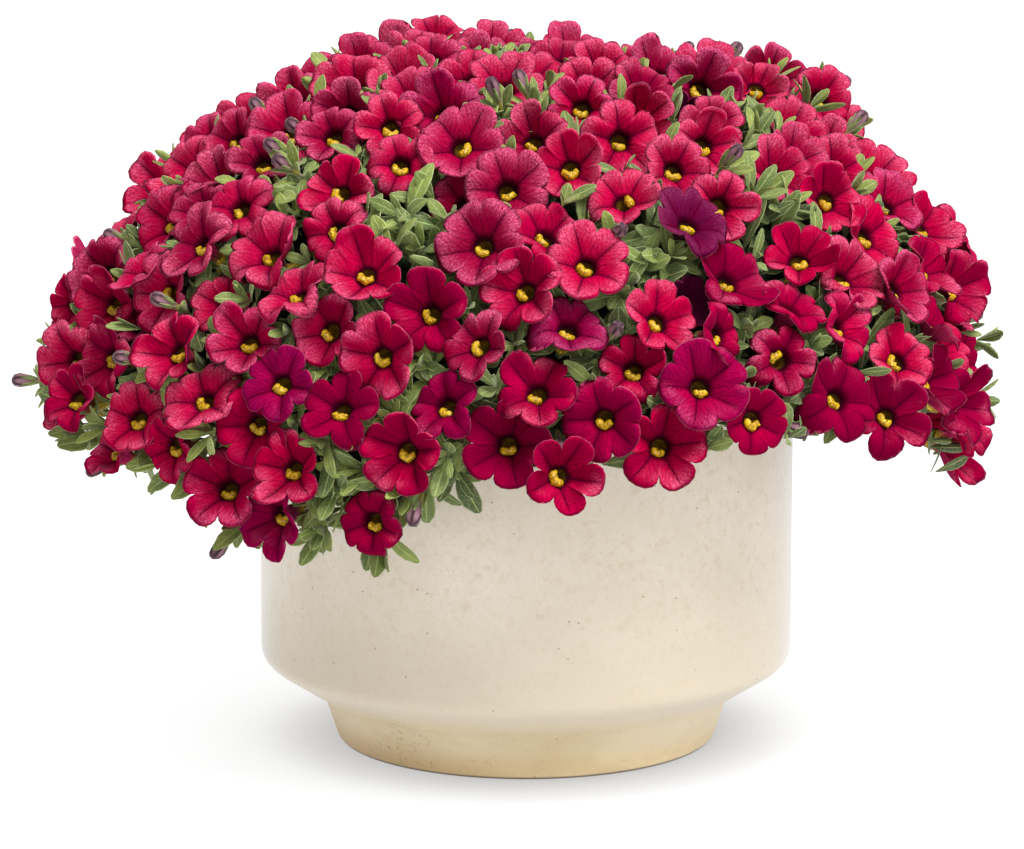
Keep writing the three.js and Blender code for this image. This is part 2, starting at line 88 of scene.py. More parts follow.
POT_RADIUS = 100.0
POT_HEIGHT = 148.0
WALL = 6.0
HEEL_HEIGHT = 31.7
HEEL_ROUND = 4.0
NECK_RADIUS = 76.8
NECK_HEIGHT = 16.8
NECK_ROUND = 3.5
FOOT_BASE_RADIUS = 71.5
RIM_ROUND = 2.2
FLOOR_HEIGHT = 9.0
POT_SIDES = 144
WALL_ROWS = 14


def loft(rings, poles, around, along, material=0, **tones):
    """Closed skins through rings of points, one skin to a copy.

    rings[n, i, j] is point j on ring i of copy n, and poles[n] holds the two points that close its
    ends. A skin is the quads between neighbouring rings and a fan of triangles at each pole. The
    surface's own coordinates are around[j], with one value more for the way back to the first
    point, and along[i], which begins and ends with the poles. A tone is one number to a copy, or
    one to each point of its rings. A skin that would face inwards is turned round.
    """
    copies, count, sides = rings.shape[:3]
    size = count * sides + 2
    points = np.concatenate([rings.reshape(copies, -1, 3), poles], axis=1)
    around, along = np.asarray(around, float), np.asarray(along, float)
    i, j = np.meshgrid(np.arange(count - 1), np.arange(sides), indexing="ij")
    k = (j + 1) % sides
    quads = np.stack([i * sides + j, i * sides + k, (i + 1) * sides + k, (i + 1) * sides + j], -1)
    corner = lambda a, b: np.stack([around[a], along[b]], -1)
    quad_uv = np.stack([corner(j, i + 1), corner(j + 1, i + 1), corner(j + 1, i + 2), corner(j, i + 2)], -2)
    j = np.arange(sides)
    k = (j + 1) % sides
    last = (count - 1) * sides
    fans = np.concatenate([np.stack([k, j, np.full(sides, size - 2)], -1),
                           np.stack([last + j, last + k, np.full(sides, size - 1)], -1)])
    at = lambda values, level: np.stack([values, np.full(sides, level)], -1)
    here, there = around[j], around[j + 1]
    middle = (here + there) / 2
    fan_uv = np.concatenate([
        np.stack([at(there, along[1]), at(here, along[1]), at(middle, along[0])], -2),
        np.stack([at(here, along[-2]), at(there, along[-2]), at(middle, along[-1])], -2)])
    quads, quad_uv = quads.reshape(-1, 4), quad_uv.reshape(-1, 4, 2)
    triangles = np.concatenate([quads[:, [0, 1, 2]], quads[:, [0, 2, 3]], fans])
    a, b, c = (points[0][triangles[:, m]] for m in range(3))
    if np.einsum("ij,ij->", a, np.cross(b, c)) < 0:
        quads, fans, quad_uv, fan_uv = (v[:, ::-1] for v in (quads, fans, quad_uv, fan_uv))
    start = size * np.arange(copies)[:, None, None]

    def to_points(value):
        if np.ndim(value) < 3:
            return np.repeat(np.broadcast_to(value, copies), size)
        flat = value.reshape(copies, -1)
        return np.concatenate([flat, flat[:, [0, -1]]], axis=1).ravel()

    return {
        "points": points.reshape(-1, 3),
        "quads": (quads[None] + start).reshape(-1, 4),
        "fans": (fans[None] + start).reshape(-1, 3),
        "quad_uv": np.tile(quad_uv, (copies, 1, 1)),
        "fan_uv": np.tile(fan_uv, (copies, 1, 1)),
        "material": material,
        "tones": {key: to_points(value) for key, value in tones.items()},
    }


def piece(name, skins, materials, node):
    """One smooth mesh of all the skins, in metres. It rides with the pot and stands for the node."""
    starts = np.cumsum([0] + [len(skin["points"]) for skin in skins])
    points = np.concatenate([skin["points"] for skin in skins]) * 0.001
    corners, sizes, uvs, look = [], [], [], []
    for start, skin in zip(starts, skins):
        for faces, uv in ((skin["quads"], skin["quad_uv"]), (skin["fans"], skin["fan_uv"])):
            corners.append((faces + start).ravel())
            sizes.append(np.full(len(faces), faces.shape[1]))
            uvs.append(uv.reshape(-1, 2))
            look.append(np.full(len(faces), skin["material"]))
    corners, sizes = np.concatenate(corners), np.concatenate(sizes)
    mesh = bpy.data.meshes.new(name)
    mesh.vertices.add(len(points))
    mesh.vertices.foreach_set("co", points.astype(np.float32).ravel())
    mesh.loops.add(len(corners))
    mesh.loops.foreach_set("vertex_index", corners.astype(np.int32))
    mesh.polygons.add(len(sizes))
    mesh.polygons.foreach_set("loop_start", (np.cumsum(sizes) - sizes).astype(np.int32))
    mesh.polygons.foreach_set("material_index", np.concatenate(look).astype(np.int32))
    mesh.polygons.foreach_set("use_smooth", np.ones(len(sizes), bool))
    skin_map = mesh.uv_layers.new(name="skin")
    skin_map.data.foreach_set("uv", np.concatenate(uvs).astype(np.float32).ravel())
    for tone in sorted({key for skin in skins for key in skin["tones"]}):
        values = [skin["tones"].get(tone, np.zeros(len(skin["points"]))) for skin in skins]
        mesh.attributes.new(tone, "FLOAT", "POINT").data.foreach_set(
            "value", np.concatenate(values).astype(np.float32))
    mesh.update(calc_edges=True)
    for material in materials:
        mesh.materials.append(material)
    made = bpy.data.objects.new(name, mesh)
    bpy.context.scene.collection.objects.link(made)
    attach(made, "root")
    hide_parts(node)


def tint(red, green, blue):
    """A colour given in display steps from 0 to 255, as the linear values that the shaders take."""
    linear = lambda c: c / 12.92 if c <= 0.04045 else ((c + 0.055) / 1.055) ** 2.4
    return (*(linear(c / 255) for c in (red, green, blue)), 1.0)


def put(tree, kind, inputs=(), **settings):
    """A node with its settings. Each input is a plain value or the socket that feeds it."""
    node = tree.nodes.new("ShaderNode" + kind)
    for key, value in settings.items():
        setattr(node, key, value)
    for socket, value in dict(inputs).items():
        if isinstance(value, bpy.types.NodeSocket):
            tree.links.new(value, node.inputs[socket])
        else:
            node.inputs[socket].default_value = value
    return node


def calc(tree, operation, *values):
    """A plain calculation on one, two or three numbers."""
    return put(tree, "Math", enumerate(values), operation=operation).outputs[0]


def times(tree, product, *others):
    """The numbers multiplied with each other."""
    for other in others:
        product = calc(tree, "MULTIPLY", product, other)
    return product


def plus(tree, one, other):
    return calc(tree, "ADD", one, other)


def minus(tree, one, other):
    return calc(tree, "SUBTRACT", one, other)


def fade(tree, value, low, high, to_low=0.0, to_high=1.0):
    """An S-shaped step from one number to another while the value goes from low to high."""
    inputs = {0: value, 1: low, 2: high, 3: to_low, 4: to_high}
    return put(tree, "MapRange", inputs, interpolation_type="SMOOTHSTEP").outputs[0]


def layered(tree, colour, *layers):
    """A ground colour with thinner layers over it, each given by its share from 0 to 1 and its colour."""
    for share, over in layers:
        colour = put(tree, "Mix", {0: share, 6: colour, 7: over}, data_type="RGBA").outputs[2]
    return colour


def noise(tree, place, scale, detail=2.0, roughness=0.5):
    """Soft random cloud from 0 to 1 on a place in space or on the skin."""
    inputs = {"Vector": place, "Scale": scale, "Detail": detail, "Roughness": roughness}
    return put(tree, "TexNoise", inputs).outputs[0]


def wire(tree, node, socket, output):
    """Feeds one of a node's inputs."""
    tree.links.new(output, node.inputs[socket])


def bumpy(tree, shader, strength, distance, height):
    """Small relief on a material, by the height of a pattern."""
    inputs = {"Strength": strength, "Distance": distance, "Height": height}
    wire(tree, shader, "Normal", put(tree, "Bump", inputs).outputs[0])


def new_effect(name, inputs, outputs):
    """An empty shader node group with named sockets, its input node and its output node."""
    tree = bpy.data.node_groups.new(name, "ShaderNodeTree")
    for socket in inputs:
        kind = "NodeSocketVector" if socket == "Place" else "NodeSocketFloat"
        tree.interface.new_socket(name=socket, in_out="INPUT", socket_type=kind)
    for socket in outputs:
        tree.interface.new_socket(name=socket, in_out="OUTPUT", socket_type="NodeSocketFloat")
    return tree, tree.nodes.new("NodeGroupInput").outputs, tree.nodes.new("NodeGroupOutput")


def new_material(name, roughness, **values):
    """A material with a Principled shader, its constant values and its tree."""
    material = bpy.data.materials.new(name)
    material.use_nodes = True
    shader = material.node_tree.nodes["Principled BSDF"]
    shader.inputs["Roughness"].default_value = roughness
    for key, value in values.items():
        shader.inputs[key.replace("_", " ").title().replace("Ior", "IOR")].default_value = value
    return material, material.node_tree, shader


def unit(vectors):
    """The vectors at length 1."""
    return vectors / np.linalg.norm(vectors, axis=-1, keepdims=True)


def rounded(corners, steps=6):
    """A profile whose corners (radius, height, rounding) are cut by quadratic curves.

    Each curve leaves one side and meets the next at the rounding's distance from the corner.
    """
    corners = np.array(corners, float)
    here, cut = corners[1:-1, :2], corners[1:-1, 2:]
    before, after = corners[:-2, :2], corners[2:, :2]
    start, end = here + cut * unit(before - here), here + cut * unit(after - here)
    t = np.linspace(0, 1, steps)[None, :, None]
    curves = (1 - t) ** 2 * start[:, None] + 2 * t * (1 - t) * here[:, None] + t ** 2 * end[:, None]
    keep = [curve if c > 0 else curve[:1] for curve, c in zip(curves, cut[:, 0])]
    return np.concatenate(keep)


def turned(profile, sides):
    """A surface of revolution: every point of the profile carried round the upright axis."""
    turn = np.arange(sides) / sides * 2 * math.pi
    radius, height = profile[:, 0, None], profile[:, 1, None]
    rings = np.stack([radius * np.cos(turn), radius * np.sin(turn), height + 0 * turn], -1)
    poles = np.array([[0, 0, profile[0, 1]], [0, 0, profile[-1, 1]]])
    walk = np.concatenate([[0], np.cumsum(np.linalg.norm(np.diff(profile, axis=0), axis=1))])
    along = np.concatenate([[-1], walk, [walk[-1] + 1]]) / walk[-1]
    return loft(rings[None], poles[None], np.arange(sides + 1) / sides, along)


# The inside follows the outside at the wall's thickness, measured square to each side.
cavity = np.array([(FOOT_BASE_RADIUS - 0.62 * WALL, FLOOR_HEIGHT),
                   (NECK_RADIUS - 0.83 * WALL, NECK_HEIGHT + 0.65 * WALL),
                   (POT_RADIUS - WALL, HEEL_HEIGHT + 0.55 * WALL)])
wall_rows = np.linspace(HEEL_HEIGHT + 14, POT_HEIGHT - 6, WALL_ROWS)
pot_corners = [
    (0, 0, 0), (1, 0, 0), (FOOT_BASE_RADIUS - 1, 0, 0.4), (FOOT_BASE_RADIUS, 1.2, 0.6),
    (NECK_RADIUS, NECK_HEIGHT, NECK_ROUND), (POT_RADIUS, HEEL_HEIGHT, HEEL_ROUND),
    *((POT_RADIUS, z, 0) for z in wall_rows),
    (POT_RADIUS, POT_HEIGHT, RIM_ROUND), (POT_RADIUS - WALL, POT_HEIGHT, RIM_ROUND),
    *((POT_RADIUS - WALL, z, 0) for z in wall_rows[::-3]),
    (*cavity[2], 3), (*cavity[1], 3), (*cavity[0], 4), (1, FLOOR_HEIGHT, 0), (0, FLOOR_HEIGHT, 0),
]

# Soft-edged patches, the colour variation of the glaze and the bare clay.
patches, given, result = new_effect("patches", ["Place", "Scale", "Detail", "Low", "High", "Most"], ["Mask"])
cloud = noise(patches, given["Place"], given["Scale"], given["Detail"], 0.6)
wire(patches, result, "Mask", fade(patches, cloud, given["Low"], given["High"], 0.0, given["Most"]))


def patchy(tree, place, scale, low, high, most=1.0, detail=2.0):
    """Where the patches of this size and cover lie, from 0 to the most."""
    inputs = {"Place": place, "Scale": scale, "Detail": detail, "Low": low, "High": high, "Most": most}
    return put(tree, "Group", inputs, node_tree=patches).outputs["Mask"]


def speckle(tree, place, scale, size, sparse):
    """Round specks: near the middle of a random cell, and only in the cells whose draw is high."""
    cell = put(tree, "TexVoronoi", {"Vector": place, "Scale": scale})
    dot = fade(tree, cell.outputs["Distance"], size * 0.5, size, 1.0, 0.0)
    drawn = put(tree, "SeparateColor", {0: cell.outputs["Color"]}).outputs[0]
    return times(tree, dot, calc(tree, "GREATER_THAN", drawn, sparse))


glaze, tree, shader = new_material("cream_glaze", 0.36, specular_ior_level=0.55, coat_weight=0.12,
                                   coat_roughness=0.25)
place = put(tree, "TexCoord").outputs["Object"]
rightward, _, height = put(tree, "SeparateXYZ", {0: place}).outputs
wide = noise(tree, place, 9.0)
grit = noise(tree, place, 420.0, 2.0, 0.6)
drift = patchy(tree, place, 26.0, 0.3, 0.7, 1.0, 4.0)
cream = layered(
    tree, tint(241, 231, 214),
    (drift, tint(234, 222, 202)),
    (fade(tree, wide, 0.35, 0.75, 0.0, 0.35), tint(220, 206, 184)),  # where the glaze is thin
    (patchy(tree, place, 150.0, 0.45, 0.75, 0.3, 4.0), tint(216, 200, 175)),
    (fade(tree, grit, 0.45, 0.7, 0.0, 0.14), tint(212, 192, 164)),
    (patchy(tree, place, 900.0, 0.55, 0.75, 0.2), tint(200, 172, 140)),
    (patchy(tree, place, 300.0, 0.56, 0.76, 0.3, 1.0), tint(222, 192, 162)),  # faint pink clouds
    (fade(tree, height, 0.03, 0.085, 0.75, 0.0), tint(207, 193, 170)),  # painted shade: greyer towards the heel, to hold down the floor's glow there
)
banded = put(tree, "Mapping", {0: place, 3: (1.0, 1.0, 3.0)}).outputs[0]
# Painted light and shade on the foot's base: lighter on the right, darker on the left.
base_light_and_shade = layered(tree, tint(200, 164, 110), (fade(tree, rightward, -0.05, 0.03), tint(250, 222, 170)))
worn = times(tree, patchy(tree, place, 620.0, 0.52, 0.7, 0.6, 4.0), patchy(tree, place, 50.0, 0.4, 0.6),
             fade(tree, rightward, -0.04, 0.0, 1.0, 0.15))
clay = layered(
    tree, tint(224, 206, 170),
    (drift, tint(214, 194, 156)),
    # Painted light: the foot is lighter on its right side.
    (fade(tree, rightward, 0.01, 0.06, 0.0, 0.7), tint(240, 224, 194)),
    (fade(tree, height, 0.001, 0.014, 0.8, 0.0), base_light_and_shade),  # painted light and shade at the base: light tan on the right, dark tan on the left
    (patchy(tree, banded, 40.0, 0.45, 0.7, 0.3, 3.0), tint(206, 178, 132)),
    (worn, tint(160, 128, 88)),
)
edge = plus(tree, height, times(tree, minus(tree, wide, 0.5), 0.004))
on_foot = fade(tree, edge, 0.017, 0.029, 1.0, 0.0)
grazing = put(tree, "LayerWeight", {"Blend": 0.5}).outputs["Facing"]
body = layered(
    tree, cream,
    (on_foot, clay),
    (fade(tree, height, 0.0004, 0.0013, 0.85, 0.0), tint(66, 60, 52)),  # painted shadow: a dark line round the lowest millimetre of the foot, where it meets the floor
    (times(tree, fade(tree, grazing, 0.62, 0.98, 0.0, 0.6), fade(tree, height, 0.03, 0.036)),
     tint(238, 235, 232)),  # painted reflection: the wall turns pale where it turns away from the view, as if it mirrored the white room
    (times(tree, speckle(tree, place, 900.0, 0.45, 0.7), patchy(tree, place, 45.0, 0.35, 0.65), 0.2),
     tint(190, 162, 120)),  # fine specks, crowded here and there
    (times(tree, speckle(tree, place, 260.0, 0.12, 0.82), 0.7), tint(128, 100, 74)),  # single dark ones
)
wire(tree, shader, "Base Color", body)
wire(tree, shader, "Roughness", plus(tree, 0.33, times(tree, on_foot, 0.18)))
bumpy(tree, shader, 0.1, 0.0004, grit)
piece("stoneware_pot", [turned(rounded(pot_corners), POT_SIDES)], [glaze], "pot")

# ---------- Soil ----------
# Dark peat mix with bark crumbs. It fills the pot to a little below the rim and heaps up slightly
# to the middle; the stems rise out of it.

SOIL_TOP = 134.0
SOIL_GAP = 0.4
SOIL_HEAP = 3.0
SOIL_SIDES = 96
SOIL_ROWS = 30
SOIL_WAVES = 24

random = np.random.default_rng(41)
wave_turns = random.uniform(0, 2 * math.pi, (SOIL_WAVES, 2))


def heaves(x, y, finest):
    """Uneven ground from 0 up and down by 1: a sum of plane waves, each shorter than the last."""
    total = 0.0
    for k, (turn, shift) in enumerate(wave_turns):
        pace = finest * (k + 3) / SOIL_WAVES
        total = total + np.sin(pace * (x * math.cos(turn) + y * math.sin(turn)) + shift) / (1 + 0.12 * k)
    return total / math.sqrt(SOIL_WAVES)


top_radii = np.linspace(POT_RADIUS - WALL - SOIL_GAP, 2.0, SOIL_ROWS)
inside = cavity + [-SOIL_GAP, SOIL_GAP]
soil_profile = np.array([(1.0, FLOOR_HEIGHT + SOIL_GAP), *inside, *((r, SOIL_TOP) for r in top_radii)])
soil_skin = turned(soil_profile, SOIL_SIDES)
x, y, z = soil_skin["points"].T
lumps = 1.1 * heaves(x, y, 1.6) + 0.5 * heaves(y, x, 5.0)
heap = SOIL_HEAP * (0.5 - np.hypot(x, y) / (POT_RADIUS - WALL))
z += np.where(z > SOIL_TOP - 1, lumps + heap, 0)

# Loose crumbs, each with a tone of its own and a rounded top.
crumbs, given, result = new_effect("crumbs", ["Place", "Scale"], ["Tone", "Height"])
cell = put(crumbs, "TexVoronoi", {"Vector": given["Place"], "Scale": given["Scale"]})
wire(crumbs, result, "Tone", put(crumbs, "SeparateColor", {0: cell.outputs["Color"]}).outputs[0])
wire(crumbs, result, "Height", minus(crumbs, 1.0, cell.outputs["Distance"]))

peat, tree, shader = new_material("peat_mix", 0.95)
place = put(tree, "TexCoord").outputs["Object"]
drawn, crumb_top = put(tree, "Group", {"Place": place, "Scale": 380.0}, node_tree=crumbs).outputs
earth = layered(tree, tint(38, 27, 20), (drawn, tint(84, 62, 44)),
                (calc(tree, "GREATER_THAN", drawn, 0.96), tint(190, 182, 168)))
wire(tree, shader, "Base Color", earth)
bumpy(tree, shader, 0.9, 0.001, crumb_top)
piece("potting_soil", [soil_skin], [peat], "soil")

# ---------- Shoots ----------
# Twenty-four soft, hairy stems rise from the soil and branch under the flowers. Each ends in its own
# share of the mound, a dense cushion of shaded leaves and twigs.

HEART = np.array([0.0, 0.0, 110.0])
SIDE_REACH = 175.0
TOP_REACH = 146.0
DEPTH_SHARE = 0.95
SQUARENESS = 2.15
TUCK_BELOW = math.radians(9)
TUCK_RATE = 60.0
# Taller tufts: azimuth, elevation, how far it stands out, and its spread in degrees.
TUFTS = ((180, 0, 18, 16), (178, 18, 5, 10), (135, 72, 12, 15), (0, 22, 15, 9), (8, 52, 16, 8))
# Rings of shoots: their elevations, the ring's turn, and each hole's radius and each stem's arch.
TIERS = (((21, 22, 22, 12, 18, 19, 20, 19, 18, 20, 18, 11), 0, 80, 34), ((47,) * 8, 22, 51, 0),
         ((72,) * 4, 45, 24, 0))
SKIRT_HALF = 13.5
CUSHION_BELOW = 16.5
CUSHION_DEPTH = 10.0
CUSHION_SIDES = 36
CUSHION_LUMPS = 1.6
SKIRT_DROOP = 0.07
STEM_RADIUS = 1.9
STEM_TIP_RADIUS = 1.5
STEM_IN_SOIL = 30.0
STEM_STRAIGHT = 10.0
STEM_PULL = 46.0
TWIGS_PER_SHOOT = 7
ODD_WAY = np.array([0.31, 0.17, 0.94])  # no twig or stalk follows it
STEM_ODD_WAY = np.array([0.83, 0.52, 0.19])


def toward(azimuth, elevation):
    """Unit vectors from azimuths and elevations in degrees."""
    a, e = np.radians(azimuth), np.radians(elevation)
    return np.stack([np.cos(e) * np.cos(a), np.cos(e) * np.sin(a), np.sin(e) + 0 * a], -1)


def ramp(value, start, end):
    """A straight rise from 0 at the start to 1 at the end, and level beyond them."""
    return np.clip((value - start) / (end - start), 0, 1)


def reach(direction):
    """Distance from the heart to the flowers' faces: a squarish ellipsoid, with soft humps for the
    tufts, that draws in under the skirt."""
    level = np.hypot(direction[..., 0], direction[..., 1] / DEPTH_SHARE) / SIDE_REACH
    upward = np.abs(direction[..., 2]) / TOP_REACH
    far = (level ** SQUARENESS + upward ** SQUARENESS) ** (-1 / SQUARENESS)
    for azimuth, elevation, stands, spread in TUFTS:
        angle = np.arccos(np.clip(direction @ toward(azimuth, elevation), -1, 1))
        far = far + stands * np.exp(-((angle / math.radians(spread)) ** 2))
    return far - TUCK_RATE * np.maximum(0, TUCK_BELOW - np.arcsin(np.clip(direction[..., 2], -1, 1)))


def at_depth(direction, depth):
    """Points that far under the flowers' faces, towards the heart."""
    return HEART + direction * (reach(direction) - depth)[..., None]


def tubes(paths, radii, sides, guide, **tones):
    """Round tubes: circles of the given radii set square along each path of points.

    The guide is a direction that no path follows. A circle's first axis is square to it and to the
    path.
    """
    ahead = unit(np.gradient(paths, axis=1))
    across = unit(np.cross(ahead, guide))
    above = np.cross(across, ahead)
    turn = np.arange(sides) / sides * 2 * math.pi
    circle = np.cos(turn)[:, None] * across[:, :, None] + np.sin(turn)[:, None] * above[:, :, None]
    rings = paths[:, :, None] + np.broadcast_to(radii, paths.shape[:2])[:, :, None, None] * circle
    steps = paths.shape[1] + 1
    return loft(rings, paths[:, [0, -1]], np.arange(sides + 1) / sides, np.arange(steps + 1) / steps,
                **tones)


def curve(start, first, second, end, steps):
    """Cubic curves between two points that leave and arrive along their handles."""
    t = np.linspace(0, 1, steps)[None, :, None]
    start, first, second, end = (p[:, None] for p in (start, first, second, end))
    return (1 - t) ** 3 * start + 3 * t * (1 - t) ** 2 * first + 3 * t * t * (1 - t) * second + t ** 3 * end


axes, holes, arches = [], [], []
for elevations, turn, hole, arch in TIERS:
    steps = np.arange(len(elevations)) * 360 / len(elevations)
    axes.append(toward(-90 + turn + steps, np.array(elevations, float)))
    holes += [hole] * len(elevations)
    arches += [arch] * len(elevations)
axes = np.concatenate(axes)
holes, arches = np.array(holes, float), np.array(arches, float)
shoots = range(len(axes))
skirt = np.array(TIERS[0][0], float)
under_axes = toward(-90 + np.arange(len(skirt)) * 360 / len(skirt), skirt - 2 * SKIRT_HALF)
all_axes = np.concatenate([axes, under_axes])


def shoot_at(way):
    """The shoot whose axis lies nearest to a direction."""
    return np.argmax(way @ axes.T, axis=-1)


def over_mound(way):
    """Whether a direction is nearer to a shoot's axis than to those under the skirt."""
    return np.argmax(way @ all_axes.T, axis=-1) < len(axes)


def ground(shoot, turns, shares):
    """Directions over a shoot's own ground. At each turn round its axis the edge is the nearest of
    the planes halfway to the other axes, and the share goes from 0 at the axis to 1 at the edge."""
    axis = axes[shoot]
    across = unit(np.cross([0, 0, 1.0], axis))
    out = np.cos(turns)[:, None] * across + np.sin(turns)[:, None] * np.cross(axis, across)
    apart = axis - np.delete(all_axes, shoot, axis=0)
    with np.errstate(divide="ignore", invalid="ignore"):
        edge = (apart @ axis)[:, None] / -(apart @ out.T)
    edge = np.where(edge > 0, edge, 9).min(axis=0)
    return unit(axis + (edge[:, None] * out)[None] * np.asarray(shares)[:, None, None])


feet = unit(axes * [1, 1, 0]) * holes[:, None] + [0, 0, SOIL_TOP - STEM_IN_SOIL]
bends = feet + [0, 0, STEM_IN_SOIL + STEM_STRAIGHT]
ends = at_depth(axes, CUSHION_BELOW + CUSHION_DEPTH - 3.5)
handles = ends - STEM_PULL * axes + arches[:, None] * [0, 0, 1.0]
risers = curve(bends, bends + [0, 0, STEM_PULL], handles, ends, 15)
stem_paths = np.concatenate([feet[:, None], risers], axis=1)
stem_radii = np.linspace(STEM_RADIUS, STEM_TIP_RADIUS, stem_paths.shape[1])

leafy, tree, shader = new_material("shaded_foliage", 0.9, specular_ior_level=0.15)
place = put(tree, "TexCoord").outputs["Object"]
drawn, leaf_top = put(tree, "Group", {"Place": place, "Scale": 210.0}, node_tree=crumbs).outputs
# Painted shade: the cushion is near-black green, for dense leaves deep in the mound's shade.
wire(tree, shader, "Base Color", layered(tree, tint(24, 33, 20), (drawn, tint(48, 62, 36))))
bumpy(tree, shader, 1.0, 0.002, leaf_top)

# Short pale hairs, as fine dots that cover part of the skin.
hairs, given, result = new_effect("hairs", ["Place", "Scale", "Cover"], ["Mask"])
down = noise(hairs, given["Place"], given["Scale"], 1.0)
wire(hairs, result, "Mask", times(hairs, fade(hairs, down, 0.57, 0.7), given["Cover"]))

stalk, tree, shader = new_material("hairy_stem", 0.6, specular_ior_level=0.3, sheen_weight=0.4,
                                   sheen_roughness=0.5, sheen_tint=(0.85, 1.0, 0.75, 1.0))
place = put(tree, "TexCoord").outputs["Object"]
patch = noise(tree, place, 160.0, 3.0)
hair = put(tree, "Group", {"Place": place, "Scale": 2400.0, "Cover": 0.5}, node_tree=hairs).outputs[0]
bark = layered(tree, tint(98, 118, 62), (patch, tint(136, 150, 92)), (hair, tint(196, 206, 160)))
wire(tree, shader, "Base Color", bark)
bumpy(tree, shader, 0.5, 0.0005, patch)


def cushion_of(shoot):
    """A shoot's slab of dense foliage: its own ground at two depths, lumpy on top by a product and a
    sum of sines. The skirt's slabs droop towards their lower edge."""
    turns = np.arange(CUSHION_SIDES) / CUSHION_SIDES * 2 * math.pi
    upper = ground(shoot, turns, [0.18, 0.4, 0.62, 0.82, 0.985])
    lower = ground(shoot, turns, [0.97, 0.6, 0.2])
    if shoot < len(skirt):
        for way in (upper, lower):
            way[..., 2] += SKIRT_DROOP * ramp(way[..., 2], axes[shoot, 2], axes[shoot, 2] - 0.2)
        upper, lower = unit(upper), unit(lower)
    top = at_depth(upper, CUSHION_BELOW)
    x, y, z = np.moveaxis(top, -1, 0)
    lift = CUSHION_LUMPS * np.sin(0.55 * x + 2) * np.sin(0.5 * y) + 1.2 * np.sin(0.9 * z + 0.7 * x)
    top = top + upper * (lift - CUSHION_LUMPS)[..., None]
    rings = np.concatenate([top, at_depth(lower, CUSHION_BELOW + CUSHION_DEPTH)])
    poles = at_depth(axes[[shoot, shoot]], np.array([CUSHION_BELOW, CUSHION_BELOW + CUSHION_DEPTH]))
    return loft(rings[None], poles[None], np.arange(CUSHION_SIDES + 1) / CUSHION_SIDES,
                np.arange(len(rings) + 2) / (len(rings) + 1))


def twigs_of(shoot):
    """Side twigs that leave the stem on its upper half and curve out into the shoot's cushion."""
    turn = random.uniform(0, 2 * math.pi, TWIGS_PER_SHOOT)
    share = random.uniform(0.35, 0.85, TWIGS_PER_SHOOT)
    goal = unit(axes[shoot] + (ground(shoot, turn, [1.0])[0] - axes[shoot]) * share[:, None])
    tip = at_depth(goal, CUSHION_BELOW + 2)
    pick = random.integers(7, 14, TWIGS_PER_SHOOT)
    start = stem_paths[shoot, pick]
    lean = unit(stem_paths[shoot, pick + 1] - start)
    paths = curve(start, start + 14 * lean, tip - 18 * goal, tip, 8)
    return tubes(paths, np.linspace(1.3, 0.8, 8), 6, ODD_WAY, material=1)


# ---------- Blooms ----------
# Five-lobed satin trumpets, fused from a narrow yellow tube. Each lobe is folded along a dark rib and
# veined, and the throat is yellow in a dark ring, with the anthers in it. A green calyx holds the tube.

BLOOM_FACETS = 15
BLOOM_RADII = (8.5, 17.0)
WIDEST_BLOOM = 31.5
MOUTH_RADIUS = 3.0
PETAL_THICKNESS = 0.4
CALYX_LENGTH = 8.5
RIGHT_EDGE = 177.0
LEFT_EDGE = 183.0
HIGHEST_TIP = 270.0
CREST_UNEVEN = 9.0
STRAY_LEAN = 0.3
SIDE_LEAN = np.array([0, -0.6, 0.1])
CREST_LEAN = np.array([0, -1.05, 0])
TRY_COUNT = 4000
TRY_SPAN = 1.14  # from straight up, as a rise from 1 down to -0.14
SKIRT_GAPS = ((-113, 5), (-148, 18))
GAP_SPACING = 58.0
GAP_PUSH = 8.0
GAP_SPREAD = 26.0
GAP_END = 90.0
LOW_BLOOM_ROOM = 16.5
LOW_BLOOM_SPACING = 17.0
LOW_BLOOM_RADII = (10.5, 13.5)
HIDDEN_BELOW = 7.5
LAYER_HEIGHT = 6.5
LAYER_DOWN, LAYER_UP = -5.0, 3.5
WILTED_FROM = 0.72
WILTED_SIZE = 0.78


def welded(node):
    """A solid's points in millimetres, each once, and its triangles."""
    mesh = node.data
    place = np.zeros(3 * len(mesh.vertices), np.float32)
    mesh.vertices.foreach_get("co", place)
    corners = np.zeros(3 * len(mesh.polygons), np.int32)
    mesh.polygons.foreach_get("vertices", corners)
    place = place.reshape(-1, 3)
    _, first, same = np.unique(np.round(place * 1e6).astype(np.int64), axis=0,
                               return_index=True, return_inverse=True)
    return place[first].astype(float) * 1000, same.ravel()[corners].reshape(-1, 3)


def cad_blooms(node):
    """Where a bunch's blooms are. In its solid every bloom is a fan of facets round its throat: the
    mean of the fan's rim is the bloom's centre, and the rim's nearest point is one of its notches."""
    points, faces = welded(node)
    edges = np.sort(np.concatenate([faces[:, [0, 1]], faces[:, [1, 2]], faces[:, [2, 0]]]), axis=1)
    edges = np.unique(edges, axis=0)
    found = []
    meeting = np.bincount(edges.ravel(), minlength=len(points))
    for throat in np.flatnonzero(meeting == BLOOM_FACETS):
        ends = edges[(edges == throat).any(axis=1)]
        rim = points[ends[ends != throat]]
        far = np.linalg.norm(rim - points[throat], axis=1)
        if far.min() > BLOOM_RADII[0] and far.max() < BLOOM_RADII[1]:
            middle = rim.mean(axis=0)
            apart = np.linalg.norm(rim - middle, axis=1)
            notch = rim[np.argmin(apart)]
            found.append([middle, unit(middle - points[throat]), unit(notch - middle),
                          [apart.max(), 0.0, 0.0]])
    return np.array(found)


def nearest(others):
    """Each spot's distance to the nearest of the other points."""
    return np.linalg.norm(spots[:, None] - others[None], axis=2).min(axis=1)


def clear_of(k, taken, least):
    """Whether a spot is farther than that from every spot taken so far."""
    return all(np.linalg.norm(spots[k] - spots[other]) > least for other in taken)


